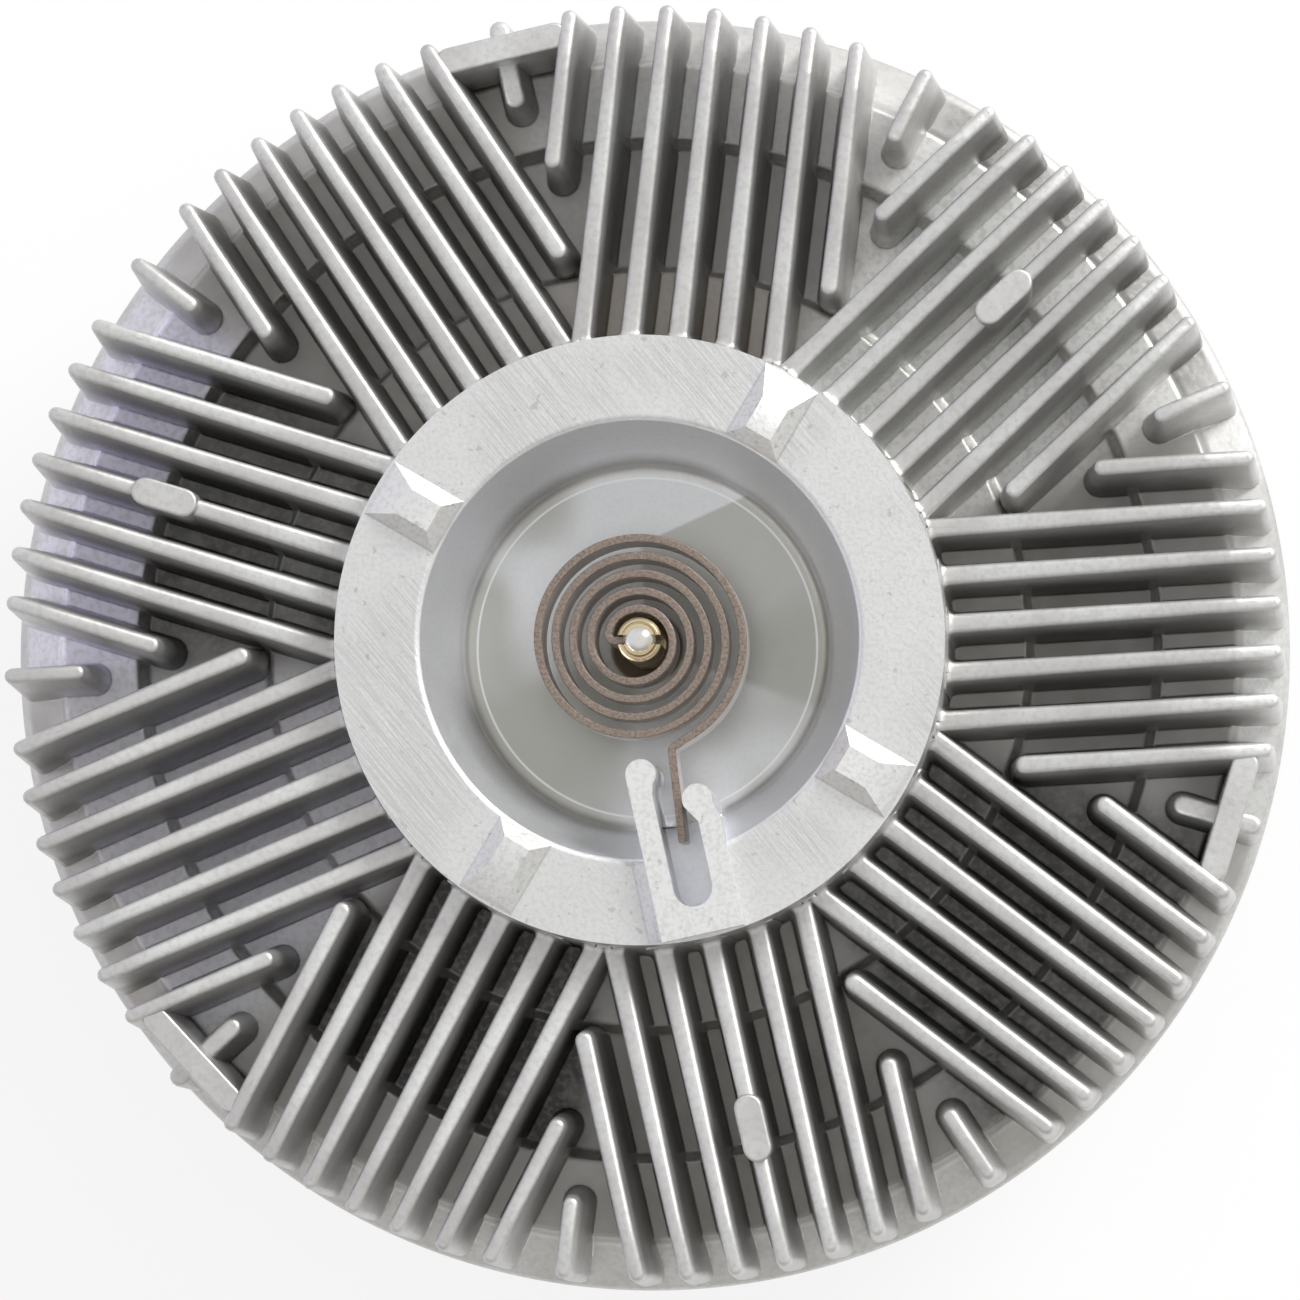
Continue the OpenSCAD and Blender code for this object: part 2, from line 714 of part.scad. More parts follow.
// Radial fin of the rear body
module rear_fin() {
    root = boss_r + fan_pilot_step / 2;
    tip = seat_r - lip_reach - rear_fin_gap;
    slab([
        [root, wall_z + 1], [root, wall_z - rear_fin_h],
        [tip - rear_fin_slope, wall_z - rear_fin_h], [tip, wall_z - rear_fin_end_h], [tip, wall_z + 1]
    ], rear_fin_t);
}

// Cast rear body with the bearing's bore, the fan bosses and the rear fins
module rear_body() {
    color(cast_colour)
        difference() {
            union() {
                rotate_extrude()
                    polygon(body_section());
                for (i = [0 : rear_fins - 1])
                    rotate([0, 0, 360 / rear_fins * i])
                        rear_fin();
                for (i = [0 : 3])
                    rotate([0, 0, 45 + 90 * i])
                        translate([fan_pcd / 2, 0, fan_face])
                            cylinder(d = fan_boss_d, h = fan_boss_h + 1);
            }
            for (i = [0 : 3])
                rotate([0, 0, 45 + 90 * i])
                    translate([fan_pcd / 2, 0, fan_face - 1])
                        cylinder(d = fan_hole_d, h = fan_hole_depth + 1);
            cover_seal_shape();
        }
}

// Seal between the cover and the rear body, in the seat's groove
module cover_seal_shape() {
    mid = seat_r - seat_w / 2;
    ring_solid(mid - cover_seal_w / 2, mid + cover_seal_w / 2, seat_z - cover_seal_h, seat_z);
}

module cover_seal() {
    color(rubber_colour)
        cover_seal_shape();
}

// Wiper block on the cover's wall, which dams the fluid at the rotor's edge
module wiper_block() {
    color(steel_colour)
        rotate([0, 0, anchor_angle - wiper_angle / 2])
            rotate_extrude(angle = wiper_angle)
                polygon([
                    [rotor_r + wiper_gap, seat_z], [cavity_r, seat_z],
                    [cavity_r, ceiling_z], [rotor_r + wiper_gap, ceiling_z]
                ]);
}

// Valve plate with its fill ports, and the rivets that hold it to the cover
module valve_plate() {
    color(steel_colour)
        difference() {
            ring_solid(0, plate_r, plate_z, ceiling_z);
            for (i = [0 : 1])
                rotate([0, 0, 180 * i])
                    translate([port_r, 0, plate_z - 1])
                        cylinder(d = port_d, h = plate_t + 2);
            for (i = [0 : rivet_count - 1])
                rotate([0, 0, 360 / rivet_count * i])
                    translate([reservoir_r + plate_seat_w / 2, 0, plate_z - 1])
                        cylinder(d = rivet_d, h = plate_t + 2);
        }
}

module valve_plate_rivets() {
    color(steel_colour)
        for (i = [0 : rivet_count - 1])
            rotate([0, 0, 360 / rivet_count * i])
                translate([reservoir_r + plate_seat_w / 2, 0, plate_z]) {
                    translate([0, 0, -rivet_head_h])
                        cylinder(d = rivet_head_d, h = rivet_head_h);
                    translate([0, 0, -eps])
                        cylinder(d = rivet_d, h = plate_t + rivet_grip + eps);
                }
}

// Bearing

// The balls' track, with the running clearance
module ball_track() {
    rotate_extrude()
        translate([ball_pitch_r, ball_z])
            circle(r = ball_r + ball_clear);
}

module bearing_outer_race() {
    color(steel_colour)
        difference() {
            ring_solid(ball_pitch_r + race_gap_half, outer_r, bearing_z, shoulder_z);
            ball_track();
        }
}

module bearing_inner_race() {
    color(steel_colour)
        difference() {
            ring_solid(bore_r, ball_pitch_r - race_gap_half, bearing_z, shoulder_z);
            ball_track();
        }
}

module bearing_balls() {
    color(steel_colour)
        for (i = [0 : ball_count - 1])
            rotate([0, 0, 360 / ball_count * i])
                translate([ball_pitch_r, 0, ball_z])
                    sphere(r = ball_r);
}

module bearing_cage() {
    color(cage_colour)
        difference() {
            ring_solid(ball_pitch_r - cage_t / 2, ball_pitch_r + cage_t / 2,
                       ball_z - cage_z, ball_z + ball_r / 2);
            for (i = [0 : ball_count - 1])
                rotate([0, 0, 360 / ball_count * i])
                    translate([ball_pitch_r, 0, ball_z])
                        sphere(r = ball_r);
        }
}

// A seal pressed into the outer race, clear of the inner one
module bearing_seal(z) {
    color(rubber_colour)
        ring_solid(ball_pitch_r - race_gap_half + seal_gap, ball_pitch_r + race_gap_half, z, z + seal_t);
}

module bearing_front_seal() {
    bearing_seal(shoulder_z - seal_t - seal_inset);
}

module bearing_rear_seal() {
    bearing_seal(bearing_z + seal_inset);
}

// Ring that holds the bearing in the rear body, open at one place
module bearing_retaining_ring() {
    color(steel_colour)
        difference() {
            ring_solid(outer_r - snap_reach, outer_r + snap_depth, snap_z, bearing_z);
            translate([0, -snap_gap / 2, snap_z - 1])
                cube([2 * outer_r, snap_gap, snap_t + 2]);
        }
}

// Input shaft and rotor

// Flanged shaft with its pilot bore, bolt holes, bearing seat and rotor seat
module input_shaft() {
    neck_r = bore_r + neck_step;
    flange_r = flange_d / 2;
    bevel = flange_chamfer;
    seat = rotor_seat_d / 2;
    groove_r = seat - rotor_ring_depth;
    color(steel_colour)
        difference() {
            rotate_extrude()
                polygon([
                    [0, 0], [flange_r - bevel, 0], [flange_r, bevel], [flange_r, flange_t - bevel],
                    [flange_r - bevel, flange_t], [neck_r, flange_t], [neck_r, bearing_z],
                    [bore_r, bearing_z], [bore_r, shoulder_z], [seat, shoulder_z],
                    [seat, rotor_top], [groove_r, rotor_top], [groove_r, rotor_ring_top],
                    [seat, rotor_ring_top], [seat, shaft_end - shaft_chamfer],
                    [seat - shaft_chamfer, shaft_end], [0, shaft_end]
                ]);
            translate([0, 0, -1])
                cylinder(d = pilot_d, h = pilot_depth + 1);
            for (i = [0 : 3])
                rotate([0, 0, 45 + 90 * i])
                    translate([flange_pcd / 2, 0, -1])
                        cylinder(d = flange_hole_d, h = flange_t + 2);
        }
}

// Rotor: hub, web and the comb of lands that runs between the cover's lands
function rotor_section() = concat(
    [
        [rotor_seat_d / 2, shoulder_z], [rotor_hub_d / 2, shoulder_z], [rotor_hub_d / 2, web_z],
        [rotor_r, web_z]
    ],
    [for (i = [0 : land_count - 1]) let (r1 = rotor_r - i * land_pitch, r0 = r1 - land_t)
        each [[r1, i == 0 ? land_tip : web_top], [r1, land_tip], [r0, land_tip], [r0, web_top]]],
    [[rotor_hub_d / 2, web_top], [rotor_hub_d / 2, rotor_top], [rotor_seat_d / 2, rotor_top]]
);

module rotor_disc() {
    color(cast_colour)
        difference() {
            rotate_extrude()
                polygon(rotor_section());
            for (i = [0 : 3])
                rotate([0, 0, 90 * i])
                    translate([(rotor_hub_d / 2 + plate_r) / 2, 0, web_z - 1])
                        cylinder(d = web_hole_d, h = web_t + 2);
        }
}

module rotor_retaining_ring() {
    seat = rotor_seat_d / 2;
    color(steel_colour)
        difference() {
            ring_solid(seat - rotor_ring_depth, seat + rotor_ring_reach, rotor_top, rotor_ring_top);
            translate([0, -rotor_ring_gap / 2, rotor_top - 1])
                cube([2 * seat, rotor_ring_gap, rotor_ring_t + 2]);
        }
}

// Valve

// Slotted shaft with a sealing groove, a rimmed end and a small dome that bridges the slot
module valve_shaft() {
    groove_r = valve_r - valve_seal_t;
    seal_top = valve_seal_z + valve_seal_h;
    slot_w = coil_t + 2 * tab_clear;
    slot_z = coil_z - tab_clear;
    head_rim_r = valve_r - head_rim_w;
    head_floor = valve_top - head_groove;
    color(brass_colour) {
        difference() {
            rotate_extrude()
                polygon([
                    [0, arm_z], [valve_r, arm_z], [valve_r, valve_seal_z], [groove_r, valve_seal_z],
                    [groove_r, seal_top], [valve_r, seal_top],
                    [valve_r, valve_top - valve_chamfer], [valve_r - valve_chamfer, valve_top],
                    [head_rim_r, valve_top], [head_rim_r, head_floor], [head_rim_r - head_groove, head_floor],
                    [head_rim_r - head_groove, valve_top], [0, valve_top]
                ]);
            translate([-valve_d, -slot_w / 2, slot_z])
                cube([2 * valve_d, slot_w, ring_z - slot_z]);
        }
        translate([0, 0, valve_top + dome_rise - dome_d / 2])
            intersection() {
                sphere(d = dome_d);
                cylinder(d = 2 * dome_d, h = dome_d);
            }
    }
}

module valve_arm() {
    arm_w = port_d + 2 * arm_wall;
    color(steel_colour)
        difference() {
            translate([0, 0, arm_z])
                linear_extrude(height = arm_t)
                    polygon(round_bar(2 * port_r + arm_w, arm_w));
            translate([0, 0, arm_z - 1])
                cylinder(r = valve_r, h = arm_t + 2);
        }
}

module valve_shaft_seal() {
    color(rubber_colour)
        ring_solid(valve_r - valve_seal_t, valve_r + valve_clear / 2,
                   valve_seal_z, valve_seal_z + valve_seal_h);
}

// Bimetal coil

// Middle line of the strip: tab in the shaft, spiral clockwise outwards, tail in the anchor
function coil_point(t) =
    let (r = coil_r0 + coil_pitch * t / 360) [r * cos(180 - t) - coil_shift, r * sin(180 - t)];

function turned(points, a) =
    [for (p = points) [p[0] * cos(a) - p[1] * sin(a), p[0] * sin(a) + p[1] * cos(a)]];

function coil_line() =
    let (
        first = tab_lead + coil_step, last = coil_span - tail_lead - coil_step,
        count = ceil((last - first) / coil_step),
        bend = coil_bend_r,
        tail_u = coil_r1 + shift_u + bend
    )
    concat(
        [[-coil_tab, 0]],
        arc(bend - coil_r0 - coil_shift, bend, bend, 270, 180, 5),
        [for (i = [0 : count]) coil_point(first + (last - first) * i / count)],
        turned(arc(tail_u, tail_v + bend, bend, 180, 270, 5), anchor_angle),
        turned([[tail_u + coil_tail, tail_v - anchor_tail_lean]], anchor_angle)
    );

// Unit normal of the line at point i, from its neighbours
function line_normal(line, i) =
    let (
        last = len(line) - 1,
        d = line[min(i + 1, last)] - line[max(i - 1, 0)]
    )
    [-d[1], d[0]] / norm(d);

// One side of the strip, at distance s from its middle line
function line_side(line, s) = [for (i = [0 : len(line) - 1]) line[i] + s * line_normal(line, i)];

function reversed(points) = [for (i = [len(points) - 1 : -1 : 0]) points[i]];

module bimetal_coil() {
    line = coil_line();
    color(bimetal_colour)
        translate([0, 0, coil_z])
            linear_extrude(height = coil_w)
                polygon(concat(line_side(line, coil_t / 2), reversed(line_side(line, -coil_t / 2))));
}

front_cover();
rear_body();
cover_seal();
wiper_block();
valve_plate();
valve_plate_rivets();
bearing_outer_race();
bearing_inner_race();
bearing_balls();
bearing_cage();
bearing_front_seal();
bearing_rear_seal();
bearing_retaining_ring();
input_shaft();
rotor_disc();
rotor_retaining_ring();
valve_shaft();
valve_arm();
valve_shaft_seal();
bimetal_coil();
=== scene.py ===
"""Looks of the viscous fan clutch: finned cover, bimetal coil, valve shaft, rear body and input shaft."""
from __future__ import annotations

import functools
import json
import logging
import math
from dataclasses import dataclass, field
from enum import Enum
from typing import Callable, Iterable, Sequence

import bpy
from mathutils import Matrix, Vector

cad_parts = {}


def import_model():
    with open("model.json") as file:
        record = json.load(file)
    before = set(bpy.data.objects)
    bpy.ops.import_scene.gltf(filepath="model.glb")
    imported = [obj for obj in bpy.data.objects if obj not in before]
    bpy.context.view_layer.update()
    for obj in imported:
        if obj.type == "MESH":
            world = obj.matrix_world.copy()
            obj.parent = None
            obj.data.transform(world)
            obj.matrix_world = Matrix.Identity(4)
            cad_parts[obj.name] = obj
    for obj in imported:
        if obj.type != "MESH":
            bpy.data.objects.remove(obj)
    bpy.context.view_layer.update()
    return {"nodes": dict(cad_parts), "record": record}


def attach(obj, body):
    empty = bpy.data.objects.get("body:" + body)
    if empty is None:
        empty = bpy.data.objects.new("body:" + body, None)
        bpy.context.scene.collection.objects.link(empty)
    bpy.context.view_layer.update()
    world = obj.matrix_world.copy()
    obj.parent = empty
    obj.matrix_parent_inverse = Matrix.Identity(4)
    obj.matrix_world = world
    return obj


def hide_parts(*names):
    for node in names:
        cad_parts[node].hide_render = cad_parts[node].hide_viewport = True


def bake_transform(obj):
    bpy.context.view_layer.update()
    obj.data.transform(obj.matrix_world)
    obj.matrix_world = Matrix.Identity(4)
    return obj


LOG = logging.getLogger("fan_clutch")
MM = 0.001

# Millimetres: corners closer than WELD merge, a corner this NEAR to a level is picked with it, and a
# half section that closes on the axis ends at AXIS_R.
WELD = 0.002
NEAR = 0.1
AXIS_R = 0.02

Piece = bpy.types.Object
Socket = bpy.types.NodeSocket
Point2 = tuple[float, float]
Colour = tuple[float, float, float, float]
Value = float | Colour | Socket
Inputs = dict[str | int, Value]


class Body(Enum):
    """The rigid bodies that pieces ride on."""

    HUB = "hub"
    HOUSING = "housing"
    VALVE = "valve"


class Slot(Enum):
    """The record's material slots."""

    CAST = "cast_aluminium"
    STEEL = "steel"
    BRASS = "brass"
    BIMETAL = "bimetal"
    RUBBER = "seal_rubber"


class Pick(Enum):
    """What an edit-mode selection takes."""

    VERT = "VERT"
    FACE = "FACE"


def arc(u: float, v: float, radius: float, start: float, end: float, steps: int) -> list[Point2]:
    """Points of an arc.

    Args:
        u: First coordinate of the centre.
        v: Second coordinate of the centre.
        radius: Radius of the arc.
        start: First angle in degrees.
        end: Last angle in degrees.
        steps: Number of equal steps.

    Returns:
        The points from start to end, both included.
    """
    turns = [math.radians(start + (end - start) * i / steps) for i in range(steps + 1)]
    return [(u + radius * math.cos(t), v + radius * math.sin(t)) for t in turns]


def rounded(corners: Sequence[Point2], radius: float, steps: int = 4) -> list[Point2]:
    """A closed outline with its corners rounded.

    Args:
        corners: Corners in order.
        radius: How far a corner is rounded along its sides, or less on short sides.
        steps: Steps of each rounding.

    Returns:
        The points of the rounded outline.
    """
    points = []
    for i, corner in enumerate(corners):
        before, here, after = (Vector(c) for c in (corners[i - 1], corner, corners[(i + 1) % len(corners)]))
        reach = min(radius, 0.45 * (before - here).length, 0.45 * (after - here).length)
        first = here + (before - here).normalized() * reach
        last = here + (after - here).normalized() * reach
        for k in range(steps + 1):
            t = k / steps
            points.append(tuple(first * (1 - t) ** 2 + here * (2 * t * (1 - t)) + last * t ** 2))
    return points


def fillet(gap: float, radius: float) -> float:
    """Height of a fillet of this radius at this gap from the wall that it meets."""
    near = min(max(radius - gap, 0.0), radius)
    return radius - math.sqrt(radius * radius - near * near)


def along(radius: float, offset: float) -> float:
    """Distance along a line at this offset from the axis to where it meets the radius."""
    return math.sqrt(max(radius * radius - offset * offset, 1.0))


class Bench:
    """Modelling by hand: primitives, edit-mode tools and applied modifiers. Lengths are millimetres."""

    @staticmethod
    def clear() -> None:
        """Leave edit mode and deselect everything."""
        if bpy.context.object and bpy.context.object.mode != "OBJECT":
            bpy.ops.object.mode_set(mode="OBJECT")
        bpy.ops.object.select_all(action="DESELECT")

    @staticmethod
    def take(obj: Piece) -> None:
        """Select this object alone and make it active.

        Args:
            obj: The object.
        """
        Bench.clear()
        obj.select_set(True)
        bpy.context.view_layer.objects.active = obj

    @staticmethod
    def edit(obj: Piece) -> None:
        """Enter edit mode with the whole mesh selected.

        Args:
            obj: The object.
        """
        Bench.take(obj)
        bpy.ops.object.mode_set(mode="EDIT")
        bpy.ops.mesh.select_all(action="SELECT")

    @staticmethod
    def rise(height: float) -> None:
        """Extrude what is selected upwards, by a height in millimetres."""
        bpy.ops.mesh.extrude_region_move(TRANSFORM_OT_translate={"value": (0, 0, height * MM)})

    @staticmethod
    def pick(obj: Piece, kind: Pick, test: Callable[[list[Vector]], bool]) -> None:
        """Enter edit mode with the elements selected whose corners pass a test.

        Args:
            obj: The object to edit.
            kind: Vertices or faces.
            test: Receives the element's corners in millimetres.
        """
        Bench.take(obj)
        bpy.ops.object.mode_set(mode="EDIT")
        bpy.ops.mesh.select_mode(type=kind.value)
        bpy.ops.mesh.select_all(action="DESELECT")
        bpy.ops.object.mode_set(mode="OBJECT")
        places = [v.co / MM for v in obj.data.vertices]
        for item in obj.data.vertices if kind is Pick.VERT else obj.data.polygons:
            corners = [item.index] if kind is Pick.VERT else item.vertices
            item.select = test([places[i] for i in corners])
        bpy.ops.object.mode_set(mode="EDIT")

    @staticmethod
    def settle(obj: Piece) -> Piece:
        """Leave edit mode, and put the object's place into its mesh.

        Args:
            obj: The object.

        Returns:
            The object.
        """
        Bench.take(obj)
        bpy.ops.object.transform_apply(location=True, rotation=True, scale=True)
        Bench.clear()
        return obj

    @staticmethod
    def mend(obj: Piece) -> Piece:
        """Merge doubles and turn all faces outwards.

        Args:
            obj: The object.

        Returns:
            The object.
        """
        Bench.edit(obj)
        bpy.ops.mesh.remove_doubles(threshold=WELD * MM)
        bpy.ops.mesh.normals_make_consistent(inside=False)
        Bench.clear()
        return obj

    @staticmethod
    def outline(name: str, points: Sequence[Vector], filled: bool) -> Piece:
        """A closed loop of points, made from a circle whose corners are moved to them.

        Args:
            name: Name of the new object.
            points: Corners in order, in millimetres.
            filled: Whether the loop gets a face.

        Returns:
            The new object.
        """
        Bench.clear()
        fill = "NGON" if filled else "NOTHING"
        bpy.ops.mesh.primitive_circle_add(vertices=len(points), radius=1.0, fill_type=fill)
        obj = bpy.context.object
        obj.name = name
        for vert, point in zip(obj.data.vertices, points):
            vert.co = point * MM
        return obj

    @staticmethod
    def lathe(name: str, profile: Sequence[Point2], steps: int) -> Piece:
        """A closed half section of (radius, height) points, spun about the axis.

        Args:
            name: Name of the new object.
            profile: Corners of the half section, in millimetres.
            steps: Steps in the full turn.

        Returns:
            The new object.
        """
        obj = Bench.outline(name, [Vector((r, 0.0, z)) for r, z in profile], filled=False)
        Bench.edit(obj)
        bpy.ops.mesh.spin(steps=steps, angle=2 * math.pi, center=(0, 0, 0), axis=(0, 0, 1))
        return Bench.mend(obj)

    @staticmethod
    def prism(name: str, plan: Sequence[Point2], low: float, high: float) -> Piece:
        """A plan of (x, y) points, extruded upwards.

        Args:
            name: Name of the new object.
            plan: Corners of the plan, in millimetres.
            low: Height of the underside.
            high: Height of the top.

        Returns:
            The new object.
        """
        obj = Bench.outline(name, [Vector((x, y, low)) for x, y in plan], filled=True)
        Bench.edit(obj)
        Bench.rise(high - low)
        return Bench.mend(obj)

    @staticmethod
    def loft(name: str, loops: Sequence[Sequence[Vector]]) -> Piece:
        """A skin through closed loops, made from a grid whose corners are moved to them.

        Args:
            name: Name of the new object.
            loops: Loops with the same number of points, in millimetres.

        Returns:
            The new object.
        """
        count = len(loops[0])
        Bench.clear()
        bpy.ops.mesh.primitive_grid_add(x_subdivisions=count, y_subdivisions=len(loops) - 1, size=1.0)
        obj = bpy.context.object
        obj.name = name
        for vert in obj.data.vertices:
            row, column = divmod(vert.index, count + 1)
            vert.co = loops[row][column % count] * MM
        return Bench.mend(obj)

    @staticmethod
    def block(name: str, low: Vector, high: Vector) -> Piece:
        """A cube primitive between two corners, in millimetres.

        Args:
            name: Name of the new object.
            low: Lowest corner.
            high: Highest corner.

        Returns:
            The new object.
        """
        Bench.clear()
        bpy.ops.mesh.primitive_cube_add(size=1.0, location=(low + high) / 2 * MM)
        obj = bpy.context.object
        obj.name = name
        obj.scale = (high - low) * MM
        return Bench.settle(obj)

    @staticmethod
    def turned_copy(obj: Piece, degrees: float) -> Piece:
        """A copy with its own mesh, turned about the axis.

        Args:
            obj: The object.
            degrees: Turn of the copy.

        Returns:
            The copy.
        """
        Bench.take(obj)
        bpy.ops.object.duplicate(linked=False)
        return Bench.turn(bpy.context.object, degrees)

    @staticmethod
    def turn(obj: Piece, degrees: float) -> Piece:
        """Turn an object about the axis, into its mesh."""
        obj.rotation_euler = (0, 0, math.radians(degrees))
        return Bench.settle(obj)

    @staticmethod
    def around(obj: Piece, count: int, first: float = 0.0) -> list[Piece]:
        """Copies at equal turns about the axis, in the place of one object.

        Args:
            obj: The object, which is deleted.
            count: Number of copies.
            first: Turn of the first copy, in degrees.

        Returns:
            The copies.
        """
        copies = [Bench.turned_copy(obj, first + 360.0 / count * i) for i in range(count)]
        bpy.data.objects.remove(obj)
        return copies

    @staticmethod
    def rods(name: str, place: float, radius: float, low: float, high: float) -> list[Piece]:
        """Four round rods about the axis, between x and y.

        Args:
            name: Name of the new objects.
            place: Distance of their middles from the axis, in millimetres.
            radius: Radius of each.
            low: Height of their undersides.
            high: Height of their tops.

        Returns:
            The rods.
        """
        plan = arc(place, 0.0, radius, 0, 352.5, 47)
        return Bench.around(Bench.prism(name, plan, low, high), 4, 45.0)

    @staticmethod
    def join(name: str, pieces: Sequence[Piece]) -> Piece:
        """Join pieces into one object of this name.

        Args:
            name: Name of the joined object.
            pieces: What is joined, the first one kept.

        Returns:
            The joined object.
        """
        Bench.clear()
        for piece in pieces:
            piece.select_set(True)
        bpy.context.view_layer.objects.active = pieces[0]
        if len(pieces) > 1:
            bpy.ops.object.join()
        pieces[0].name = name
        Bench.clear()
        return pieces[0]

    @staticmethod
    def apply(obj: Piece, kind: str, **settings: object) -> None:
        """Add one modifier and apply it.

        Args:
            obj: The object.
            kind: Blender's modifier type.
            **settings: Values for the modifier.
        """
        modifier = obj.modifiers.new(kind.lower(), kind)
        for key, value in settings.items():
            setattr(modifier, key, value)
        Bench.take(obj)
        bpy.ops.object.modifier_apply(modifier=modifier.name)
        Bench.clear()

    @staticmethod
    def cut(obj: Piece, cutters: Iterable[Piece]) -> None:
        """Cut shapes out of an object and delete the shapes.

        Args:
            obj: The object.
            cutters: The shapes to cut out.
        """
        for cutter in cutters:
            Bench.apply(obj, "BOOLEAN", operation="DIFFERENCE", solver="EXACT", object=cutter)
            bpy.data.objects.remove(cutter)

    @staticmethod
    def cast(obj: Piece, voxel: float, rounds: int, faces: int) -> None:
        """Fuse overlapping shells into one skin with rounded edges and root fillets.

        Args:
            obj: The joined shells.
            voxel: Grain of the skin in millimetres.
            rounds: Smoothing passes.
            faces: Triangles to keep.
        """
        Bench.apply(obj, "REMESH", mode="VOXEL", voxel_size=voxel * MM)
        Bench.apply(obj, "SMOOTH", factor=0.5, iterations=rounds)
        triangles = sum(len(p.vertices) - 2 for p in obj.data.polygons)
        if triangles > faces:
            Bench.apply(obj, "DECIMATE", ratio=faces / triangles)
        LOG.info("%s: %d triangles, kept %d", obj.name, triangles, len(obj.data.polygons))

    @staticmethod
    def unite(obj: Piece, others: Iterable[Piece]) -> None:
        """Fuse shapes with an object and delete the shapes.

        Args:
            obj: The object.
            others: The shapes to fuse with it.
        """
        for other in others:
            Bench.apply(obj, "BOOLEAN", operation="UNION", solver="EXACT", object=other)
            bpy.data.objects.remove(other)

    @staticmethod
    def ease(obj: Piece, width: float, degrees: float = 30.0, segments: int = 2) -> None:
        """Round the edges that are sharper than an angle, by a width in millimetres.

        Args:
            obj: The object.
            width: Width of the rounding.
            degrees: Edges sharper than this are rounded.
            segments: Steps of the rounding.
        """
        Bench.apply(
            obj, "BEVEL", width=width * MM, segments=segments, limit_method="ANGLE",
            angle_limit=math.radians(degrees), use_clamp_overlap=True,
        )

    @staticmethod
    def smooth(obj: Piece, degrees: float) -> None:
        """Shade smooth with edges above an angle kept sharp, and let large faces lead the shading.

        Args:
            obj: The object.
            degrees: Edges above this stay sharp.
        """
        Bench.take(obj)
        bpy.ops.object.shade_smooth_by_angle(angle=math.radians(degrees))
        Bench.clear()
        Bench.apply(obj, "WEIGHTED_NORMAL", keep_sharp=True, weight=60)

    @staticmethod
    def paint(obj: Piece, material: bpy.types.Material) -> None:
        """Give an object this material alone."""
        obj.data.materials.clear()
        obj.data.materials.append(material)

    @staticmethod
    def dress(obj: Piece, material: bpy.types.Material, body: Body, slot: Slot) -> None:
        """Give a finished piece its material and its body.

        Args:
            obj: The piece.
            material: Its material.
            body: The body that carries it.
            slot: The record's material slot; not used.
        """
        Bench.paint(obj, material)
        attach(obj, body.value)
        LOG.info("%s: %d faces", obj.name, len(obj.data.polygons))


class Nodes:
    """A node tree, with short ways to add its nodes and feed their sockets."""

    def __init__(self, tree: bpy.types.NodeTree) -> None:
        """Work on this tree."""
        self.tree = tree

    def feed(self, socket: Socket, value: Value) -> None:
        """Link an output into a socket, or set the socket to a constant.

        Args:
            socket: The input.
            value: What it gets.
        """
        if isinstance(value, Socket):
            self.tree.links.new(value, socket)
        else:
            socket.default_value = value

    def add(self, kind: str, inputs: Inputs | None = None, **settings: object) -> bpy.types.Node:
        """Add a node.

        Args:
            kind: Blender's node type.
            inputs: What each of its sockets gets.
            **settings: Properties of the node.

        Returns:
            The node.
        """
        node = self.tree.nodes.new(kind)
        for key, value in settings.items():
            setattr(node, key, value)
        for key, value in (inputs or {}).items():
            self.feed(node.inputs[key], value)
        return node

    def math(self, operation: str, *terms: float | Socket) -> Socket:
        """A Math node over numbers and sockets."""
        return self.add("ShaderNodeMath", dict(enumerate(terms)), operation=operation).outputs[0]

    def vector(self, operation: str, *terms: Socket | tuple[float, float, float]) -> Sequence[Socket]:
        """The outputs of a Vector Math node over vectors."""
        return self.add("ShaderNodeVectorMath", dict(enumerate(terms)), operation=operation).outputs

    def times(self, product: float | Socket, *terms: float | Socket) -> Socket:
        """The product of numbers and sockets, from left to right.

        Args:
            product: First factor.
            *terms: The other factors.

        Returns:
            The product.
        """
        for term in terms:
            product = self.math("MULTIPLY", product, term)
        return product

    def ramp(self, value: Socket, low: float, high: float) -> Socket:
        """A smooth step from 0 at low to 1 at high."""
        inputs = {"Value": value, "From Min": low, "From Max": high}
        return self.add("ShaderNodeMapRange", inputs, interpolation_type="SMOOTHSTEP").outputs["Result"]

    def spread(self, value: Socket, low: float, high: float) -> Socket:
        """A value from 0 to 1, spread between two numbers."""
        inputs = {"Value": value, "To Min": low, "To Max": high}
        return self.add("ShaderNodeMapRange", inputs).outputs["Result"]

    def mix(self, factor: Socket, first: Value, second: Value) -> Socket:
        """A mix of two colours, the first at factor 0 and the second at 1."""
        return self.add("ShaderNodeMix", {0: factor, 6: first, 7: second}, data_type="RGBA").outputs[2]


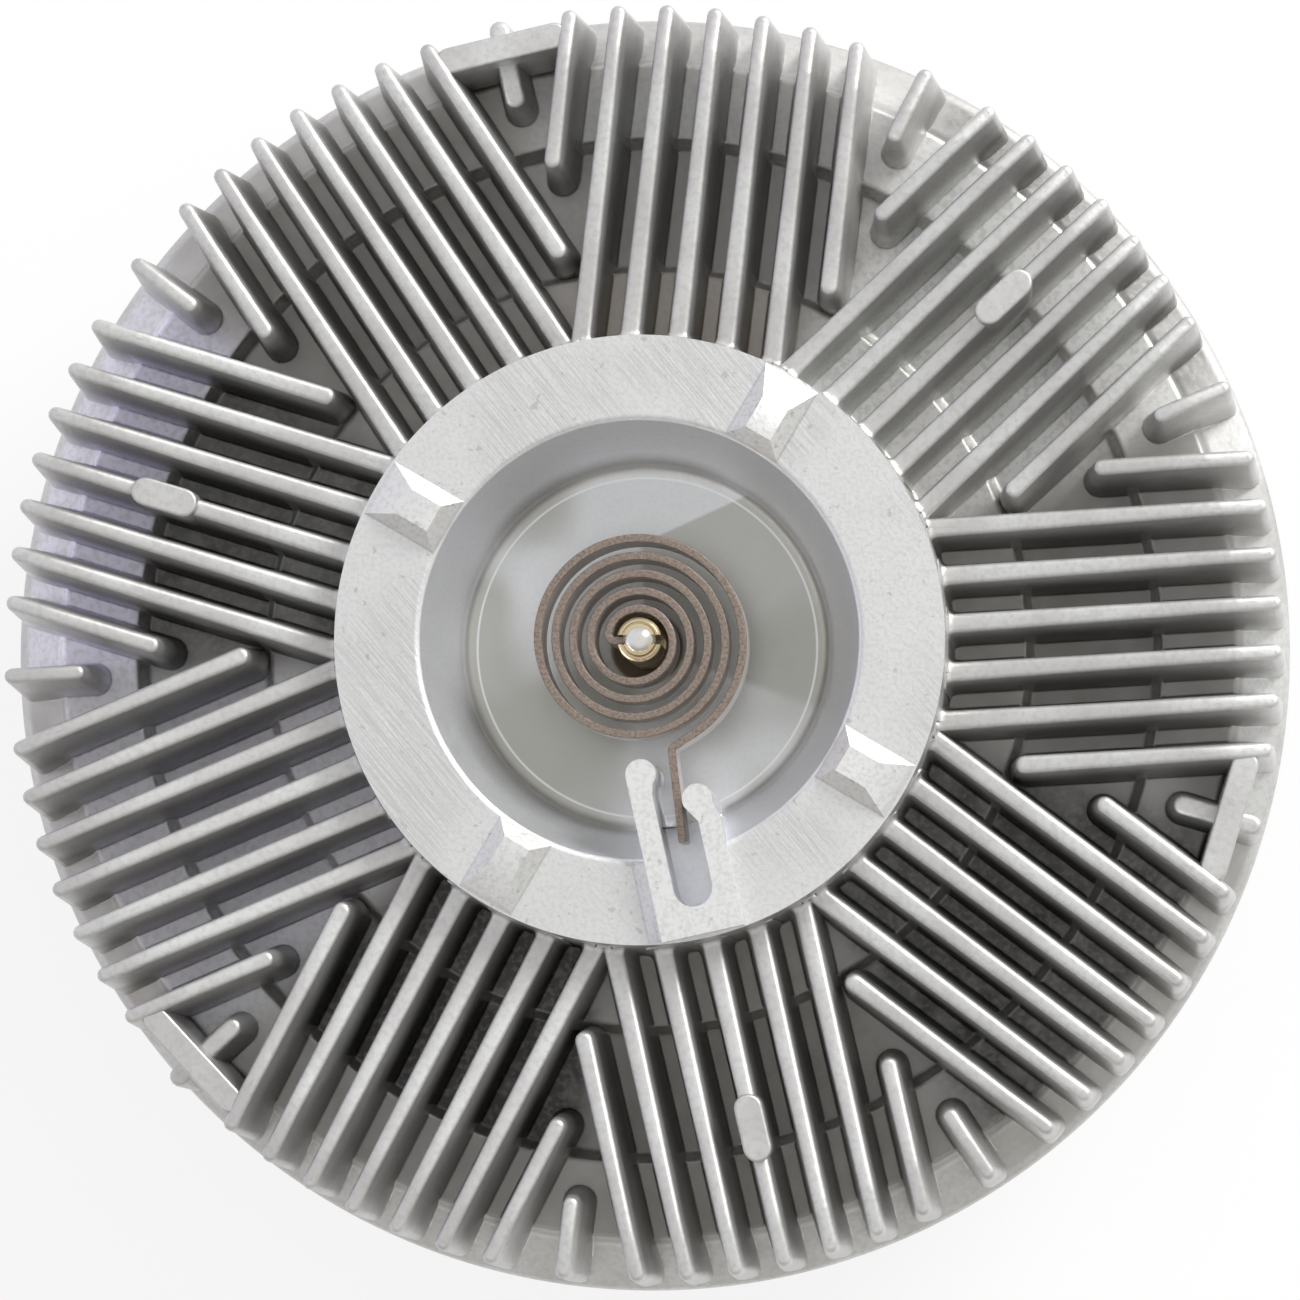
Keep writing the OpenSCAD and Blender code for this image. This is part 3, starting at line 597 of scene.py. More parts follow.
class Sheet(Nodes):
    """A material's nodes: a Principled shader, and patterns on the object's own coordinates."""

    def __init__(self, name: str) -> None:
        """Start an empty material with a Principled shader.

        Args:
            name: Name of the material.
        """
        self.material = bpy.data.materials.new(name)
        self.material.use_nodes = True
        super().__init__(self.material.node_tree)
        self.shader = self.tree.nodes["Principled BSDF"]
        self.place = self.add("ShaderNodeTexCoord").outputs["Object"]
        self.z = self.add("ShaderNodeSeparateXYZ", {0: self.place}).outputs["Z"]
        flat = self.vector("MULTIPLY", self.place, (1.0, 1.0, 0.0))["Vector"]
        self.radius = self.vector("LENGTH", flat)["Value"]
        self.heading = self.vector("NORMALIZE", flat)["Vector"]

    def noise(
        self,
        scale: float,
        detail: float = 2.0,
        stretch: tuple[float, float, float] | None = None,
        turn: float = 0.0,
    ) -> Socket:
        """Noise on the object's own coordinates.

        Args:
            scale: Grains per metre.
            detail: Octaves.
            stretch: Scale along each axis of the turned pattern, where they differ.
            turn: Turn of the pattern about the axis, in degrees.

        Returns:
            The noise value, about 0 to 1.
        """
        place = self.place
        if stretch:
            scales = [1.0 / s for s in stretch]
            axes = {"Rotation": (0, 0, math.radians(turn)), "Scale": scales, "Vector": place}
            place = self.add("ShaderNodeMapping", axes, vector_type="TEXTURE").outputs[0]
        inputs = {"Scale": scale, "Detail": detail, "Vector": place}
        return self.add("ShaderNodeTexNoise", inputs).outputs["Fac"]

    @functools.cache
    def band(self, inner: float, outer: float, soft: float = 1.0) -> Socket:
        """A ring about the axis, 1 inside it and 0 outside.

        Args:
            inner: Its inner radius in millimetres.
            outer: Its outer radius in millimetres.
            soft: Width of its soft edges in millimetres.

        Returns:
            The ring's value.
        """
        rise = self.ramp(self.radius, (inner - soft) * MM, inner * MM)
        fall = self.ramp(self.radius, (outer + soft) * MM, outer * MM)
        return self.times(rise, fall)

    @functools.cache
    def sector(self, angle: float, half: float, soft: float) -> Socket:
        """A sector about the axis.

        Args:
            angle: Its middle, in degrees.
            half: Half of its width, in degrees.
            soft: Width of its soft edges, in degrees.

        Returns:
            1 inside the sector, 0 outside it.
        """
        turn = math.radians(angle)
        middle = (math.cos(turn), math.sin(turn), 0.0)
        cosine = self.vector("DOT_PRODUCT", self.heading, middle)["Value"]
        low, high = (math.cos(math.radians(edge)) for edge in (half + soft, half))
        return self.ramp(cosine, low, high)

    def level(self, base: float, low: float, high: float) -> Socket:
        """A smooth step along the axis, 0 at base + low and 1 at base + high, in millimetres."""
        return self.ramp(self.z, (base + low) * MM, (base + high) * MM)

    def layers(self, base: Value, *coats: tuple[Socket, Colour]) -> Value:
        """Lay colours over a base colour, each by its share.

        Args:
            base: Colour at the bottom.
            *coats: Share and colour of each layer, from the bottom up.

        Returns:
            The colour with all its layers.
        """
        for share, colour in coats:
            base = self.mix(share, base, colour)
        return base

    def bump(self, height: Socket, strength: float, depth: float) -> None:
        """Add relief to the shader, over any relief it has.

        Args:
            height: Height from 0 to 1.
            strength: Strength of the relief.
            depth: Depth in millimetres.
        """
        inputs = {"Strength": strength, "Distance": depth * MM, "Height": height}
        for link in self.shader.inputs["Normal"].links:
            inputs["Normal"] = link.from_socket
        self.set("Normal", self.add("ShaderNodeBump", inputs).outputs[0])

    def set(self, name: str, value: Value) -> None:
        """Set or link one of the shader's sockets."""
        self.feed(self.shader.inputs[name], value)

    def coat(self, colour: Value, metal: float, rough: Value) -> bpy.types.Material:
        """Set the shader's colour, metal and roughness, and hand over the material.

        Args:
            colour: Base colour.
            metal: How metallic it is.
            rough: Roughness.

        Returns:
            The material.
        """
        self.set("Base Color", colour)
        self.set("Metallic", metal)
        self.set("Roughness", rough)
        return self.material


@dataclass(frozen=True)
class Patch:
    """A place between the fins or on the rim that takes a colour of its own: grime, painted shade, painted
    light or a painted lilac reflection, one per place. Degrees and millimetres.
    """

    angle: float
    inner: float
    outer: float
    colour: Colour
    amount: float


@dataclass(frozen=True)
class CastFinish:
    """Cast aluminium skin: fine grain, soft blotches, and low down between the fins grime, painted shade,
    painted light and painted reflections in patches, with painted highlights along the floor's steps.
    """

    name: str
    clean: Colour = (0.70, 0.70, 0.69, 1.0)
    dull: Colour = (0.60, 0.59, 0.58, 1.0)
    speck: Colour = (0.46, 0.455, 0.44, 1.0)
    # Painted highlight colour for the edges of the floor's steps.
    step_highlight: Colour = (0.92, 0.91, 0.88, 1.0)
    floor_z: float = 0.0
    low_rise: Point2 = (9.0, 1.0)
    patches: tuple[Patch, ...] = ()
    patch_half: float = 15.0
    patch_soft: float = 8.0
    steps: tuple[float, ...] = ()
    step_half: float = 0.6
    step_soft: float = 0.4
    step_share: float = 0.75
    speck_share: float = 0.3
    metal: float = 0.9
    rough: Point2 = (0.42, 0.58)

    def make(self) -> bpy.types.Material:
        """Make the material.

        Returns:
            The material.
        """
        sheet = Sheet(self.name)
        blotch = sheet.noise(60.0)
        colour = sheet.mix(sheet.ramp(blotch, 0.35, 0.68), self.dull, self.clean)
        # Patches low between the fins: grime, painted shade, painted light and painted reflections, strongest
        # at the floor.
        if self.patches:
            low = sheet.level(self.floor_z, *self.low_rise)
            low_mottle = sheet.times(low, sheet.spread(sheet.noise(220.0), 0.5, 1.3))
            for patch in self.patches:
                sector = sheet.sector(patch.angle, self.patch_half, self.patch_soft)
                share = sheet.times(low_mottle, sheet.band(patch.inner, patch.outer), sector, patch.amount)
                colour = sheet.mix(share, colour, patch.colour)
            # Painted highlights: pale bands along the edges of the floor's steps.
            for step in self.steps:
                edge = sheet.band(step - self.step_half, step + self.step_half, self.step_soft)
                colour = sheet.mix(sheet.times(edge, low, self.step_share), colour, self.step_highlight)
        mottle = sheet.ramp(sheet.noise(1100.0), 0.44, 0.66)
        colour = sheet.mix(sheet.times(mottle, self.speck_share), colour, self.speck)
        sheet.bump(sheet.noise(850.0), 0.22, 0.25)
        return sheet.coat(colour, self.metal, sheet.spread(blotch, *self.rough))


@dataclass(frozen=True)
class MilledFinish:
    """Milled aluminium: a pale satin top with slanting cutter lines, over a smooth cast wall and floor with
    stains, painted shade, a painted dark reflection and a painted highlight circle.
    """

    name: str
    top_z: float
    floor_z: float
    pale: Colour = (0.75, 0.75, 0.745, 1.0)
    lined: Colour = (0.62, 0.62, 0.615, 1.0)
    wall: Colour = (0.94, 0.955, 0.99, 1.0)
    floor: Colour = (0.52, 0.52, 0.505, 1.0)
    # Dark tone for stains, pits and grain, and for painted shade and a painted dark reflection on the recess
    # floor.
    dark_tone: Colour = (0.42, 0.42, 0.385, 1.0)
    bright: Colour = (0.95, 0.95, 0.93, 1.0)
    # Painted shade in the sunken well about the shaft.
    well_shade: Colour = (0.17, 0.14, 0.115, 1.0)
    metal: float = 0.85
    line_angle: float = -50.0
    score_angle: float = -54.0
    # Painted highlight circle where the wall meets the floor.
    circle_r: float = 25.0
    circle_half: float = 0.1
    circle_soft: float = 0.12
    well_r: Point2 = (5.8, 4.8)
    # Painted dark reflection on the floor, cut off by a chord, and a painted shadow sector on the lower left.
    dark_reflection: tuple[float, float, float] = (37.0, 54.0, 5.0)
    chord: tuple[float, float, float] = (0.412, -0.911, 0.0)
    chord_edge: Point2 = (-14.6, -14.0)
    shade: tuple[float, float, float] = (228.0, 20.0, 16.0)
    # Painted shade in the hollow at the wall's foot, on two sides.
    hollow: Point2 = (26.2, 27.4)
    hollow_sides: tuple[tuple[float, float, float], ...] = ((232.0, 26.0, 14.0), (105.0, 28.0, 18.0))

    def make(self) -> bpy.types.Material:
        """Make the material.

        Returns:
            The material.
        """
        sheet = Sheet(self.name)
        top = sheet.level(self.top_z, -0.3, -0.1)
        flat = sheet.level(self.top_z, 0.5, 0.2)
        low = sheet.level(self.floor_z, 0.9, 0.3)
        lines = sheet.noise(1.0, 3.0, (90.0, 3400.0, 90.0), self.line_angle)
        scores = sheet.noise(1.0, 1.0, (35.0, 900.0, 35.0), self.score_angle)
        pits = sheet.ramp(sheet.noise(700.0), 0.65, 0.74)
        stains = sheet.ramp(sheet.noise(28.0), 0.46, 0.58)
        worn = sheet.times(sheet.ramp(sheet.noise(45.0, 1.0), 0.42, 0.62), flat)
        sand = sheet.ramp(sheet.noise(1500.0), 0.40, 0.70)
        face = sheet.layers(
            self.pale,
            (sheet.times(sheet.ramp(lines, 0.62, 0.38), worn), self.lined),
            (sheet.times(sheet.math("SUBTRACT", 1.0, flat), 0.4), self.bright),
            (sheet.times(sand, 0.5), self.lined),
            (sheet.times(pits, 0.5), self.dark_tone),
        )
        # Painted dark reflection on the floor, cut off by a chord, and a painted shadow sector on the lower
        # left.
        chord = sheet.vector("DOT_PRODUCT", sheet.place, self.chord)["Value"]
        beyond = sheet.ramp(chord, *(edge * MM for edge in self.chord_edge))
        dark_reflection = sheet.times(sheet.sector(*self.dark_reflection), beyond)
        shade = sheet.math("MAXIMUM", dark_reflection, sheet.sector(*self.shade))
        # Painted shade in the hollow at the wall's foot, on two sides.
        sides = sheet.math("MAXIMUM", *(sheet.sector(*side) for side in self.hollow_sides))
        # Painted shade in the sunken well about the shaft.
        well_shade = sheet.ramp(sheet.radius, *(edge * MM for edge in self.well_r))
        # Painted highlight: a thin bright circle where the wall meets the floor.
        edges = self.circle_r - self.circle_half, self.circle_r + self.circle_half
        circle = sheet.band(*edges, self.circle_soft)
        bowl = sheet.layers(
            self.wall,
            (sheet.times(stains, low), self.dark_tone),
            (sheet.times(low, 0.5), self.floor),
            (sheet.times(shade, low, 0.75), self.dark_tone),
            (sheet.times(sheet.band(*self.hollow), sides, 0.4), self.dark_tone),
            (sheet.times(sand, 0.09), self.dark_tone),
            (sheet.times(well_shade, low), self.well_shade),
            (sheet.times(circle, low, 0.55), self.bright),
        )
        cut = sheet.math("SUBTRACT", lines, sheet.times(sheet.ramp(scores, 0.6, 0.72), 0.5))
        relief = sheet.math("ADD", sheet.times(cut, worn), sheet.times(sand, 0.5))
        sheet.bump(sheet.times(sheet.math("MAXIMUM", top, 0.15), relief), 0.30, 0.10)
        satin = sheet.spread(sheet.noise(400.0, 1.0), 0.36, 0.48)
        rough = sheet.math("ADD", satin, sheet.times(top, 0.06))
        return sheet.coat(sheet.mix(top, bowl, face), self.metal, rough)


@dataclass(frozen=True)
class StripFinish:
    """Rolled bimetal strip: copper-brown edges, greyer faces, with fine lines along its length."""

    name: str = "bimetal_strip"
    edge_z: float = 85.0
    brown: Colour = (0.35, 0.285, 0.24, 1.0)
    dark: Colour = (0.20, 0.16, 0.135, 1.0)
    face: Colour = (0.76, 0.71, 0.67, 1.0)
    metal: float = 0.8

    def make(self) -> bpy.types.Material:
        """Make the material.

        Returns:
            The material.
        """
        sheet = Sheet(self.name)
        edge = sheet.level(self.edge_z, -0.5, -0.1)
        mottle = sheet.mix(sheet.ramp(sheet.noise(2400.0, 5.0), 0.30, 0.66), self.dark, self.brown)
        sheet.bump(sheet.noise(1.0, stretch=(400.0, 400.0, 6000.0)), 0.15, 0.03)
        sheet.bump(sheet.noise(2600.0, 3.0), 0.2, 0.05)
        rough = sheet.spread(sheet.noise(600.0), 0.34, 0.5)
        return sheet.coat(sheet.mix(edge, self.face, mottle), self.metal, rough)


@dataclass(frozen=True)
class TurnedFinish:
    """Turned metal: fine rings about the axis, light wear and a few stains."""

    name: str
    bright: Colour
    stained: Colour
    rough: float = 0.3
    feed: float = 0.35
    metal: float = 0.95

    def make(self) -> bpy.types.Material:
        """Make the material.

        Returns:
            The material.
        """
        sheet = Sheet(self.name)
        rings = sheet.math("SINE", sheet.times(sheet.radius, 2 * math.pi / (self.feed * MM)))
        dark_tone = sheet.ramp(sheet.noise(140.0, 5.0), 0.42, 0.75)
        sheet.bump(sheet.spread(rings, 0.0, 1.0), 0.1, 0.02)
        rough = sheet.spread(sheet.noise(500.0, 3.0), self.rough - 0.08, self.rough + 0.1)
        return sheet.coat(sheet.mix(dark_tone, self.bright, self.stained), self.metal, rough)


@dataclass(frozen=True)
class RubberFinish:
    """Seal rubber: dark, dull, with a fine skin."""

    name: str = "seal_rubber"
    light: Colour = (0.045, 0.045, 0.048, 1.0)
    dark: Colour = (0.022, 0.022, 0.024, 1.0)

    def make(self) -> bpy.types.Material:
        """Make the material.

        Returns:
            The material.
        """
        sheet = Sheet(self.name)
        sheet.bump(sheet.noise(2500.0), 0.2, 0.05)
        colour = sheet.mix(sheet.noise(300.0, 3.0), self.dark, self.light)
        return sheet.coat(colour, 0.0, sheet.spread(sheet.noise(900.0), 0.55, 0.75))


# Grime and painted shade: darkens floors and rims.
GRIME_AND_SHADE: Colour = (0.30, 0.28, 0.25, 1.0)
BROWN: Colour = (0.54, 0.47, 0.40, 1.0)
# Painted shade.
PAINTED_SHADE: Colour = (0.14, 0.135, 0.125, 1.0)
# Painted light, where the key lamp lights the floors of group 1.
PAINTED_LIGHT: Colour = (0.92, 0.92, 0.90, 1.0)
# Painted lilac reflection of the surroundings on the left.
LILAC_REFLECTION: Colour = (0.90, 0.88, 0.99, 1.0)
# Patches by group: painted shade deep in groups 4, 6 and 8 and on rims, painted light on group 1's floors,
# painted lilac reflections on the left side, grime elsewhere.
COVER_PATCHES = (
    Patch(3.1, 44.0, 87.0, GRIME_AND_SHADE, 0.6), Patch(43.1, 44.0, 86.0, PAINTED_LIGHT, 0.9),
    Patch(83.1, 44.0, 56.0, BROWN, 0.6), Patch(83.1, 56.0, 75.0, GRIME_AND_SHADE, 0.35),
    Patch(123.1, 44.0, 87.0, GRIME_AND_SHADE, 0.6), Patch(163.1, 44.0, 75.0, PAINTED_SHADE, 0.85),
    Patch(163.1, 75.4, 87.0, LILAC_REFLECTION, 1.2), Patch(203.1, 44.0, 87.0, LILAC_REFLECTION, 0.5),
    Patch(243.1, 44.0, 75.0, PAINTED_SHADE, 1.2), Patch(243.1, 75.0, 87.0, GRIME_AND_SHADE, 0.5),
    Patch(283.1, 44.0, 87.0, GRIME_AND_SHADE, 0.7), Patch(323.1, 44.0, 87.0, PAINTED_SHADE, 0.95),
    Patch(43.1, 87.0, 92.6, PAINTED_SHADE, 0.8), Patch(123.1, 87.0, 92.6, GRIME_AND_SHADE, 0.5),
    Patch(163.1, 87.0, 92.6, LILAC_REFLECTION, 0.5), Patch(203.1, 87.0, 92.6, GRIME_AND_SHADE, 0.6),
    Patch(323.1, 87.0, 92.6, GRIME_AND_SHADE, 0.5),
)


@dataclass(frozen=True)
class Palette:
    """The finishes that several sub-assemblies share."""

    steel: TurnedFinish = TurnedFinish("turned_steel", (0.58, 0.58, 0.60, 1.0), (0.50, 0.49, 0.48, 1.0))
    brass: TurnedFinish = TurnedFinish(
        "turned_brass", (0.74, 0.62, 0.40, 1.0), (0.56, 0.45, 0.28, 1.0), 0.24, 0.22
    )
    tin: TurnedFinish = TurnedFinish(
        "tinned_dome", (0.80, 0.79, 0.76, 1.0), (0.72, 0.66, 0.52, 1.0), 0.2, 0.4
    )
    rubber: RubberFinish = RubberFinish()


@dataclass
class FrontCover:
    """The cast cover: finned annulus, milled ring with its recess, and the coil anchor. Millimetres."""

    rim_r: float = 94.5
    seat_r: float = 91.0
    cavity_r: float = 83.7
    lip_r: float = 88.5
    ring_r: float = 44.0
    ring_inner_r: float = 31.7
    recess_r: float = 25.0
    reservoir_r: float = 40.5
    bore_r: float = 3.25
    boss_r: float = 8.0
    lip_z: float = 37.5
    wall_z: float = 40.0
    seat_z: float = 52.0
    ceiling_z: float = 60.0
    groove_z: float = 63.0
    recess_under: float = 64.5
    band_z: float = 67.5
    recess_z: float = 68.0
    cap_z: float = 81.0
    crest_z: float = 87.5
    ring_z: float = 88.0
    groove_in: float = 55.7
    groove_out: float = 75.4
    slope_r: float = 87.5
    slope_drop: float = 3.0
    step_run: float = 1.0
    skirt_h: float = 6.0
    lip_edge: float = 1.0
    overlap: float = 2.0
    wall_gap: float = 0.1
    wall_lean: float = 0.045
    wall_t: float = 3.5
    collar_w: float = 2.0
    collar_depth: float = 1.2
    bore_rise: float = 1.6
    floor_round: float = 2.0
    top_round: float = 1.1
    ring_lip: float = 0.6
    inset: float = 0.2
    groups: int = 9
    first_angle: float = 3.1
    pitch: float = 7.0
    side_count: int = 3
    fin_top: float = 2.1
    fin_base: float = 4.6
    inner_drop: float = 5.5
    outer_drop: float = 0.8
    crest_r: float = 84.5
    end_r: float = 93.9
    end_w: float = 1.8
    end_h: float = 10.0
    short_len: float = 26.0
    mid_len: float = 39.5
    stub_len: float = 14.5
    low_stub: float = 6.0
    pad_len: float = 19.5
    pad_w: float = 3.8
    boss_len: float = 9.9
    boss_w: float = 4.1
    oblong_r: float = 72.0
    bar_r: float = 88.4
    lug_angle: float = 59.5
    lug_h: float = 2.5
    lug_base: float = 8.7
    lug_top: float = 4.1
    lug_ramp: float = 5.0
    lug_inner: float = 2.4
    anchor_angle: float = -77.5
    slot_half: float = 2.825
    finger_t: float = 3.2
    slot_end: float = 36.575
    long_u: float = 19.2
    short_u: float = 24.4
    tip_r: float = 2.2
    tip_len: float = 3.2
    tip_in: float = 0.5
    slot_start: float = 21.0
    arc_steps: int = 14
    anchor_rise: float = 2.5
    side_w: float = 2.1
    side_drop: float = 0.3
    coil_z: float = 75.0
    land_pitch: float = 5.0
    land_t: float = 2.2
    first_land_r: float = 79.2
    lands: int = 5
    spin_steps: int = 240
    root_r: float = 0.3
    root_depth: float = 0.6
    least_w: float = 0.02
    wall_share: float = 0.7
    wall_steps: tuple[float, ...] = (-1.0, 0.0, 0.12, 0.35, 0.65, 1.0)
    wall_clear: float = 0.2
    nose_clear: float = 0.4
    end_clear: float = 1.2
    ring_edge: float = 0.22
    bar_edge: float = 0.45
    land_edge: float = 0.2
    wall_r: float = 1.1
    edge_r: float = 0.7
    end_round: float = 1.5
    stations: tuple[float, ...] = (
        47.0, 50.0, 53.0, 54.6, 55.3, 55.9, 56.5, 57.2, 60.0, 64.0, 68.0, 72.0, 73.4, 74.1,
        74.7, 75.3, 75.9, 77.0, 80.0, 83.0, 85.6, 86.2, 86.8, 87.4, 88.0, 89.5, 91.0, 92.3,
    )
    # The skin paints grime, painted shade, painted light and painted reflections in patches, and painted
    # highlights on the steps. The milled finish paints shade, a dark reflection and a highlight in the
    # recess.
    skin: CastFinish = field(default_factory=lambda: CastFinish(
        "cast_cover", floor_z=67.5, patches=COVER_PATCHES, steps=(56.2, 74.9)
    ))
    milled: MilledFinish = field(default_factory=lambda: MilledFinish(
        "milled_ring", top_z=88.0, floor_z=68.0
    ))

    def floor_line(self) -> list[Point2]:
        """The floor from the inner step outwards: the groove, the outer band and the slope to the rim.

        Returns:
            The points, as radius and height.
        """
        return [
            (self.groove_in, self.band_z), (self.groove_in + self.step_run, self.groove_z),
            (self.groove_out - self.step_run, self.groove_z), (self.groove_out, self.band_z),
            (self.slope_r - self.step_run, self.band_z), (self.slope_r, self.band_z - self.slope_drop),
            (self.rim_r, self.seat_z + self.skirt_h),
        ]

    def rim_section(self) -> list[Point2]:
        """Half section of the finned annulus: ring wall, floor, rim, skirt and inside.

        Returns:
            The corners, as radius and height.
        """
        inner, high = self.ring_r - self.overlap, self.ring_z - 0.5
        return [
            (inner, high), (self.ring_r + self.wall_gap, high), (self.ring_r + 1.0, self.band_z),
            *self.floor_line(),
            (self.rim_r, self.lip_z + self.lip_edge), (self.rim_r - self.lip_edge, self.lip_z),
            (self.lip_r, self.lip_z), (self.lip_r, self.wall_z),
            (self.seat_r, self.wall_z), (self.seat_r, self.seat_z),
            (self.cavity_r, self.seat_z), (self.cavity_r, self.ceiling_z), (inner, self.ceiling_z),
        ]

    def ring_section(self) -> list[Point2]:
        """Half section of the ring: collar, floor, wall, milled top and the fluid space.

        Returns:
            The corners, as radius and height.
        """
        bore_foot, bore_top = self.ceiling_z + self.bore_rise, self.recess_z - self.collar_depth
        collar = self.bore_r + self.collar_w
        outer = self.ring_r - self.ring_lip
        low, high = self.floor_round, self.top_round
        return [
            (self.bore_r, bore_top), (collar, bore_top), (collar, self.recess_z),
            (self.recess_r, self.recess_z),
            *arc(self.recess_r + 0.3, self.recess_z + low, low, -88, -20, 6),
            *arc(self.ring_inner_r + 0.9, self.ring_z - high, high, 158, 92, 6),
            (self.ring_r, self.ring_z), (self.ring_r, self.ring_z - 0.6), (outer, self.ring_z - 0.7),
            (outer, self.ceiling_z), (self.reservoir_r, self.ceiling_z), (self.reservoir_r, self.cap_z),
            (self.ring_inner_r + self.wall_t, self.cap_z), (self.recess_r + self.wall_t, self.recess_under),
            (self.boss_r, self.recess_under), (self.boss_r, bore_foot), (self.bore_r, bore_foot),
        ]

    def lug(self, angle: float) -> Piece:
        """One lug on the ring: a block whose top is drawn up and in to a flat pad.

        Args:
            angle: Its place around the ring, in degrees.

        Returns:
            The lug.
        """
        wide = self.lug_base / 2
        inner, outer = self.ring_inner_r + self.inset, along(self.ring_r - self.inset, wide)
        low = Vector((inner, -wide, self.ring_z - 1.0))
        lug = Bench.block("lug", low, Vector((outer, wide, self.ring_z)))
        Bench.pick(lug, Pick.FACE, lambda c: min(v.z for v in c) > self.ring_z - NEAR)
        Bench.rise(self.lug_h)
        pad_in, pad_out = self.ring_inner_r + self.lug_inner, self.ring_r - self.lug_ramp
        share = (pad_out - pad_in) / (outer - inner)
        still = (pad_in - share * inner) / (1.0 - share)
        scale = (share, self.lug_top / self.lug_base, 1.0)
        bpy.ops.transform.resize(value=scale, center_override=(still * MM, 0, self.ring_z * MM))
        Bench.mend(lug)
        return Bench.turn(lug, angle)

    @property
    def anchor_half(self) -> float:
        """Half of the anchor block's width."""
        return self.slot_half + self.finger_t

    def slot_round(self) -> list[Point2]:
        """The round outer end of the anchor's slot."""
        return arc(self.slot_end, 0.0, self.slot_half, 90, -90, self.arc_steps)

    def anchor_plan(self) -> list[Point2]:
        """Plan of the anchor block, u outwards and v to its right.

        Returns:
            The corners of the plan.
        """
        half = self.anchor_half
        outer = self.ring_r - self.ring_lip
        steps = self.arc_steps
        return [
            (outer, half), (self.short_u + self.tip_len, half),
            *arc(self.short_u, half - self.tip_r - self.tip_in, self.tip_r, 70, 290, steps),
            (self.short_u + self.tip_len, self.slot_half), *self.slot_round(),
            (self.long_u + self.tip_len, -self.slot_half),
            *arc(self.long_u, self.tip_r - half, self.tip_r, 40, 270, steps),
            (outer, -half),
        ]

    def anchor_side(self) -> Piece:
        """The sloped side of the anchor block, on the ring.

        Returns:
            The side, in its place.
        """
        half = self.anchor_half
        high = self.ring_z + self.anchor_rise - self.side_drop
        run = self.side_w * (1.0 + 1.0 / (self.anchor_rise - self.side_drop))
        low = Vector((self.ring_inner_r, -half - run, self.ring_z - 1.0))
        outer = along(self.ring_r - self.inset, half + self.side_w)
        side = Bench.block("side", low, Vector((outer, 1.0 - half, high)))
        Bench.pick(side, Pick.VERT, lambda c: c[0].z > high - NEAR and c[0].y < low.y + NEAR)
        bpy.ops.transform.translate(value=(0, run * MM, 0))
        Bench.mend(side)
        return Bench.turn(side, self.anchor_angle)

    def ring(self) -> Piece:
        """The milled ring with its lugs and recess, and the anchor block with its slot.

        Returns:
            The ring.
        """
        ring = Bench.lathe("cover_ring", self.ring_section(), self.spin_steps)
        half = self.anchor_half
        low = Vector((self.recess_r + self.overlap, -half, self.recess_under + 1.0))
        root = Bench.block("root", low, Vector((self.reservoir_r + 1.0, half, self.ring_z - self.wall_t)))
        Bench.unite(ring, [Bench.turn(root, self.anchor_angle)])
        Bench.unite(ring, [self.lug(self.lug_angle + 90.0 * i) for i in range(4)] + [self.anchor_side()])
        mouth = [(self.slot_start, -self.slot_half), (self.slot_start, self.slot_half)]
        slot = Bench.prism("slot", mouth + self.slot_round(), self.coil_z, self.ring_z + 4.0)
        Bench.cut(ring, [Bench.turn(slot, self.anchor_angle)])
        block = Bench.prism("anchor", self.anchor_plan(), self.recess_z - 1.0, self.ring_z + self.anchor_rise)
        Bench.unite(ring, [Bench.turn(block, self.anchor_angle)])
        Bench.mend(ring)
        Bench.ease(ring, self.ring_edge)
        return ring

    def floor_at(self, radius: float) -> float:
        """Height of the cover's floor at a radius.

        Args:
            radius: Distance from the axis.

        Returns:
            The height.
        """
        steps = [(self.ring_r, self.band_z), *self.floor_line()]
        for (r0, z0), (r1, z1) in zip(steps, steps[1:]):
            if radius <= r1:
                return z0 + (z1 - z0) * (radius - r0) / (r1 - r0)
        return steps[-1][1]

    def fin(self, offset: float, start: float, low: float = 0.0, nose: bool = False) -> Piece:
        """One drafted fin along x: sloping rounded top, root fillets, a blunt outer end.

        Args:
            offset: Distance of the fin's middle from the axis.
            start: Where the fin starts along x.
            low: How much lower than the others the fin is.
            nose: Whether it starts with a round nose and not in the ring's wall.

        Returns:
            The fin.
        """
        half = self.fin_top / 2
        draft = (self.fin_base - self.fin_top) / 2 / (self.crest_z - self.band_z)
        foot = half + draft * (self.crest_z - self.band_z)
        end = along(self.end_r, abs(offset) + half)
        shoulder = end - self.end_w
        crest = min(max(along(self.crest_r, offset), start + self.fin_base), shoulder - self.end_w)
        inner = along(self.ring_r, offset)
        centre = start + foot

        def top(u: float) -> float:
            """Height of the fin's top.

            Args:
                u: Place along x.

            Returns:
                The height.
            """
            if u < crest:
                return self.crest_z - self.inner_drop * (crest - u) / (crest - inner) - low
            return self.crest_z - self.outer_drop * min((u - crest) / (shoulder - crest), 1.0) - low

        def wall(z: float, v: float) -> float:
            """Where the ring's wall stands at a height, along x."""
            return along(self.ring_r + self.wall_gap + self.wall_lean * (self.ring_z - z), v)

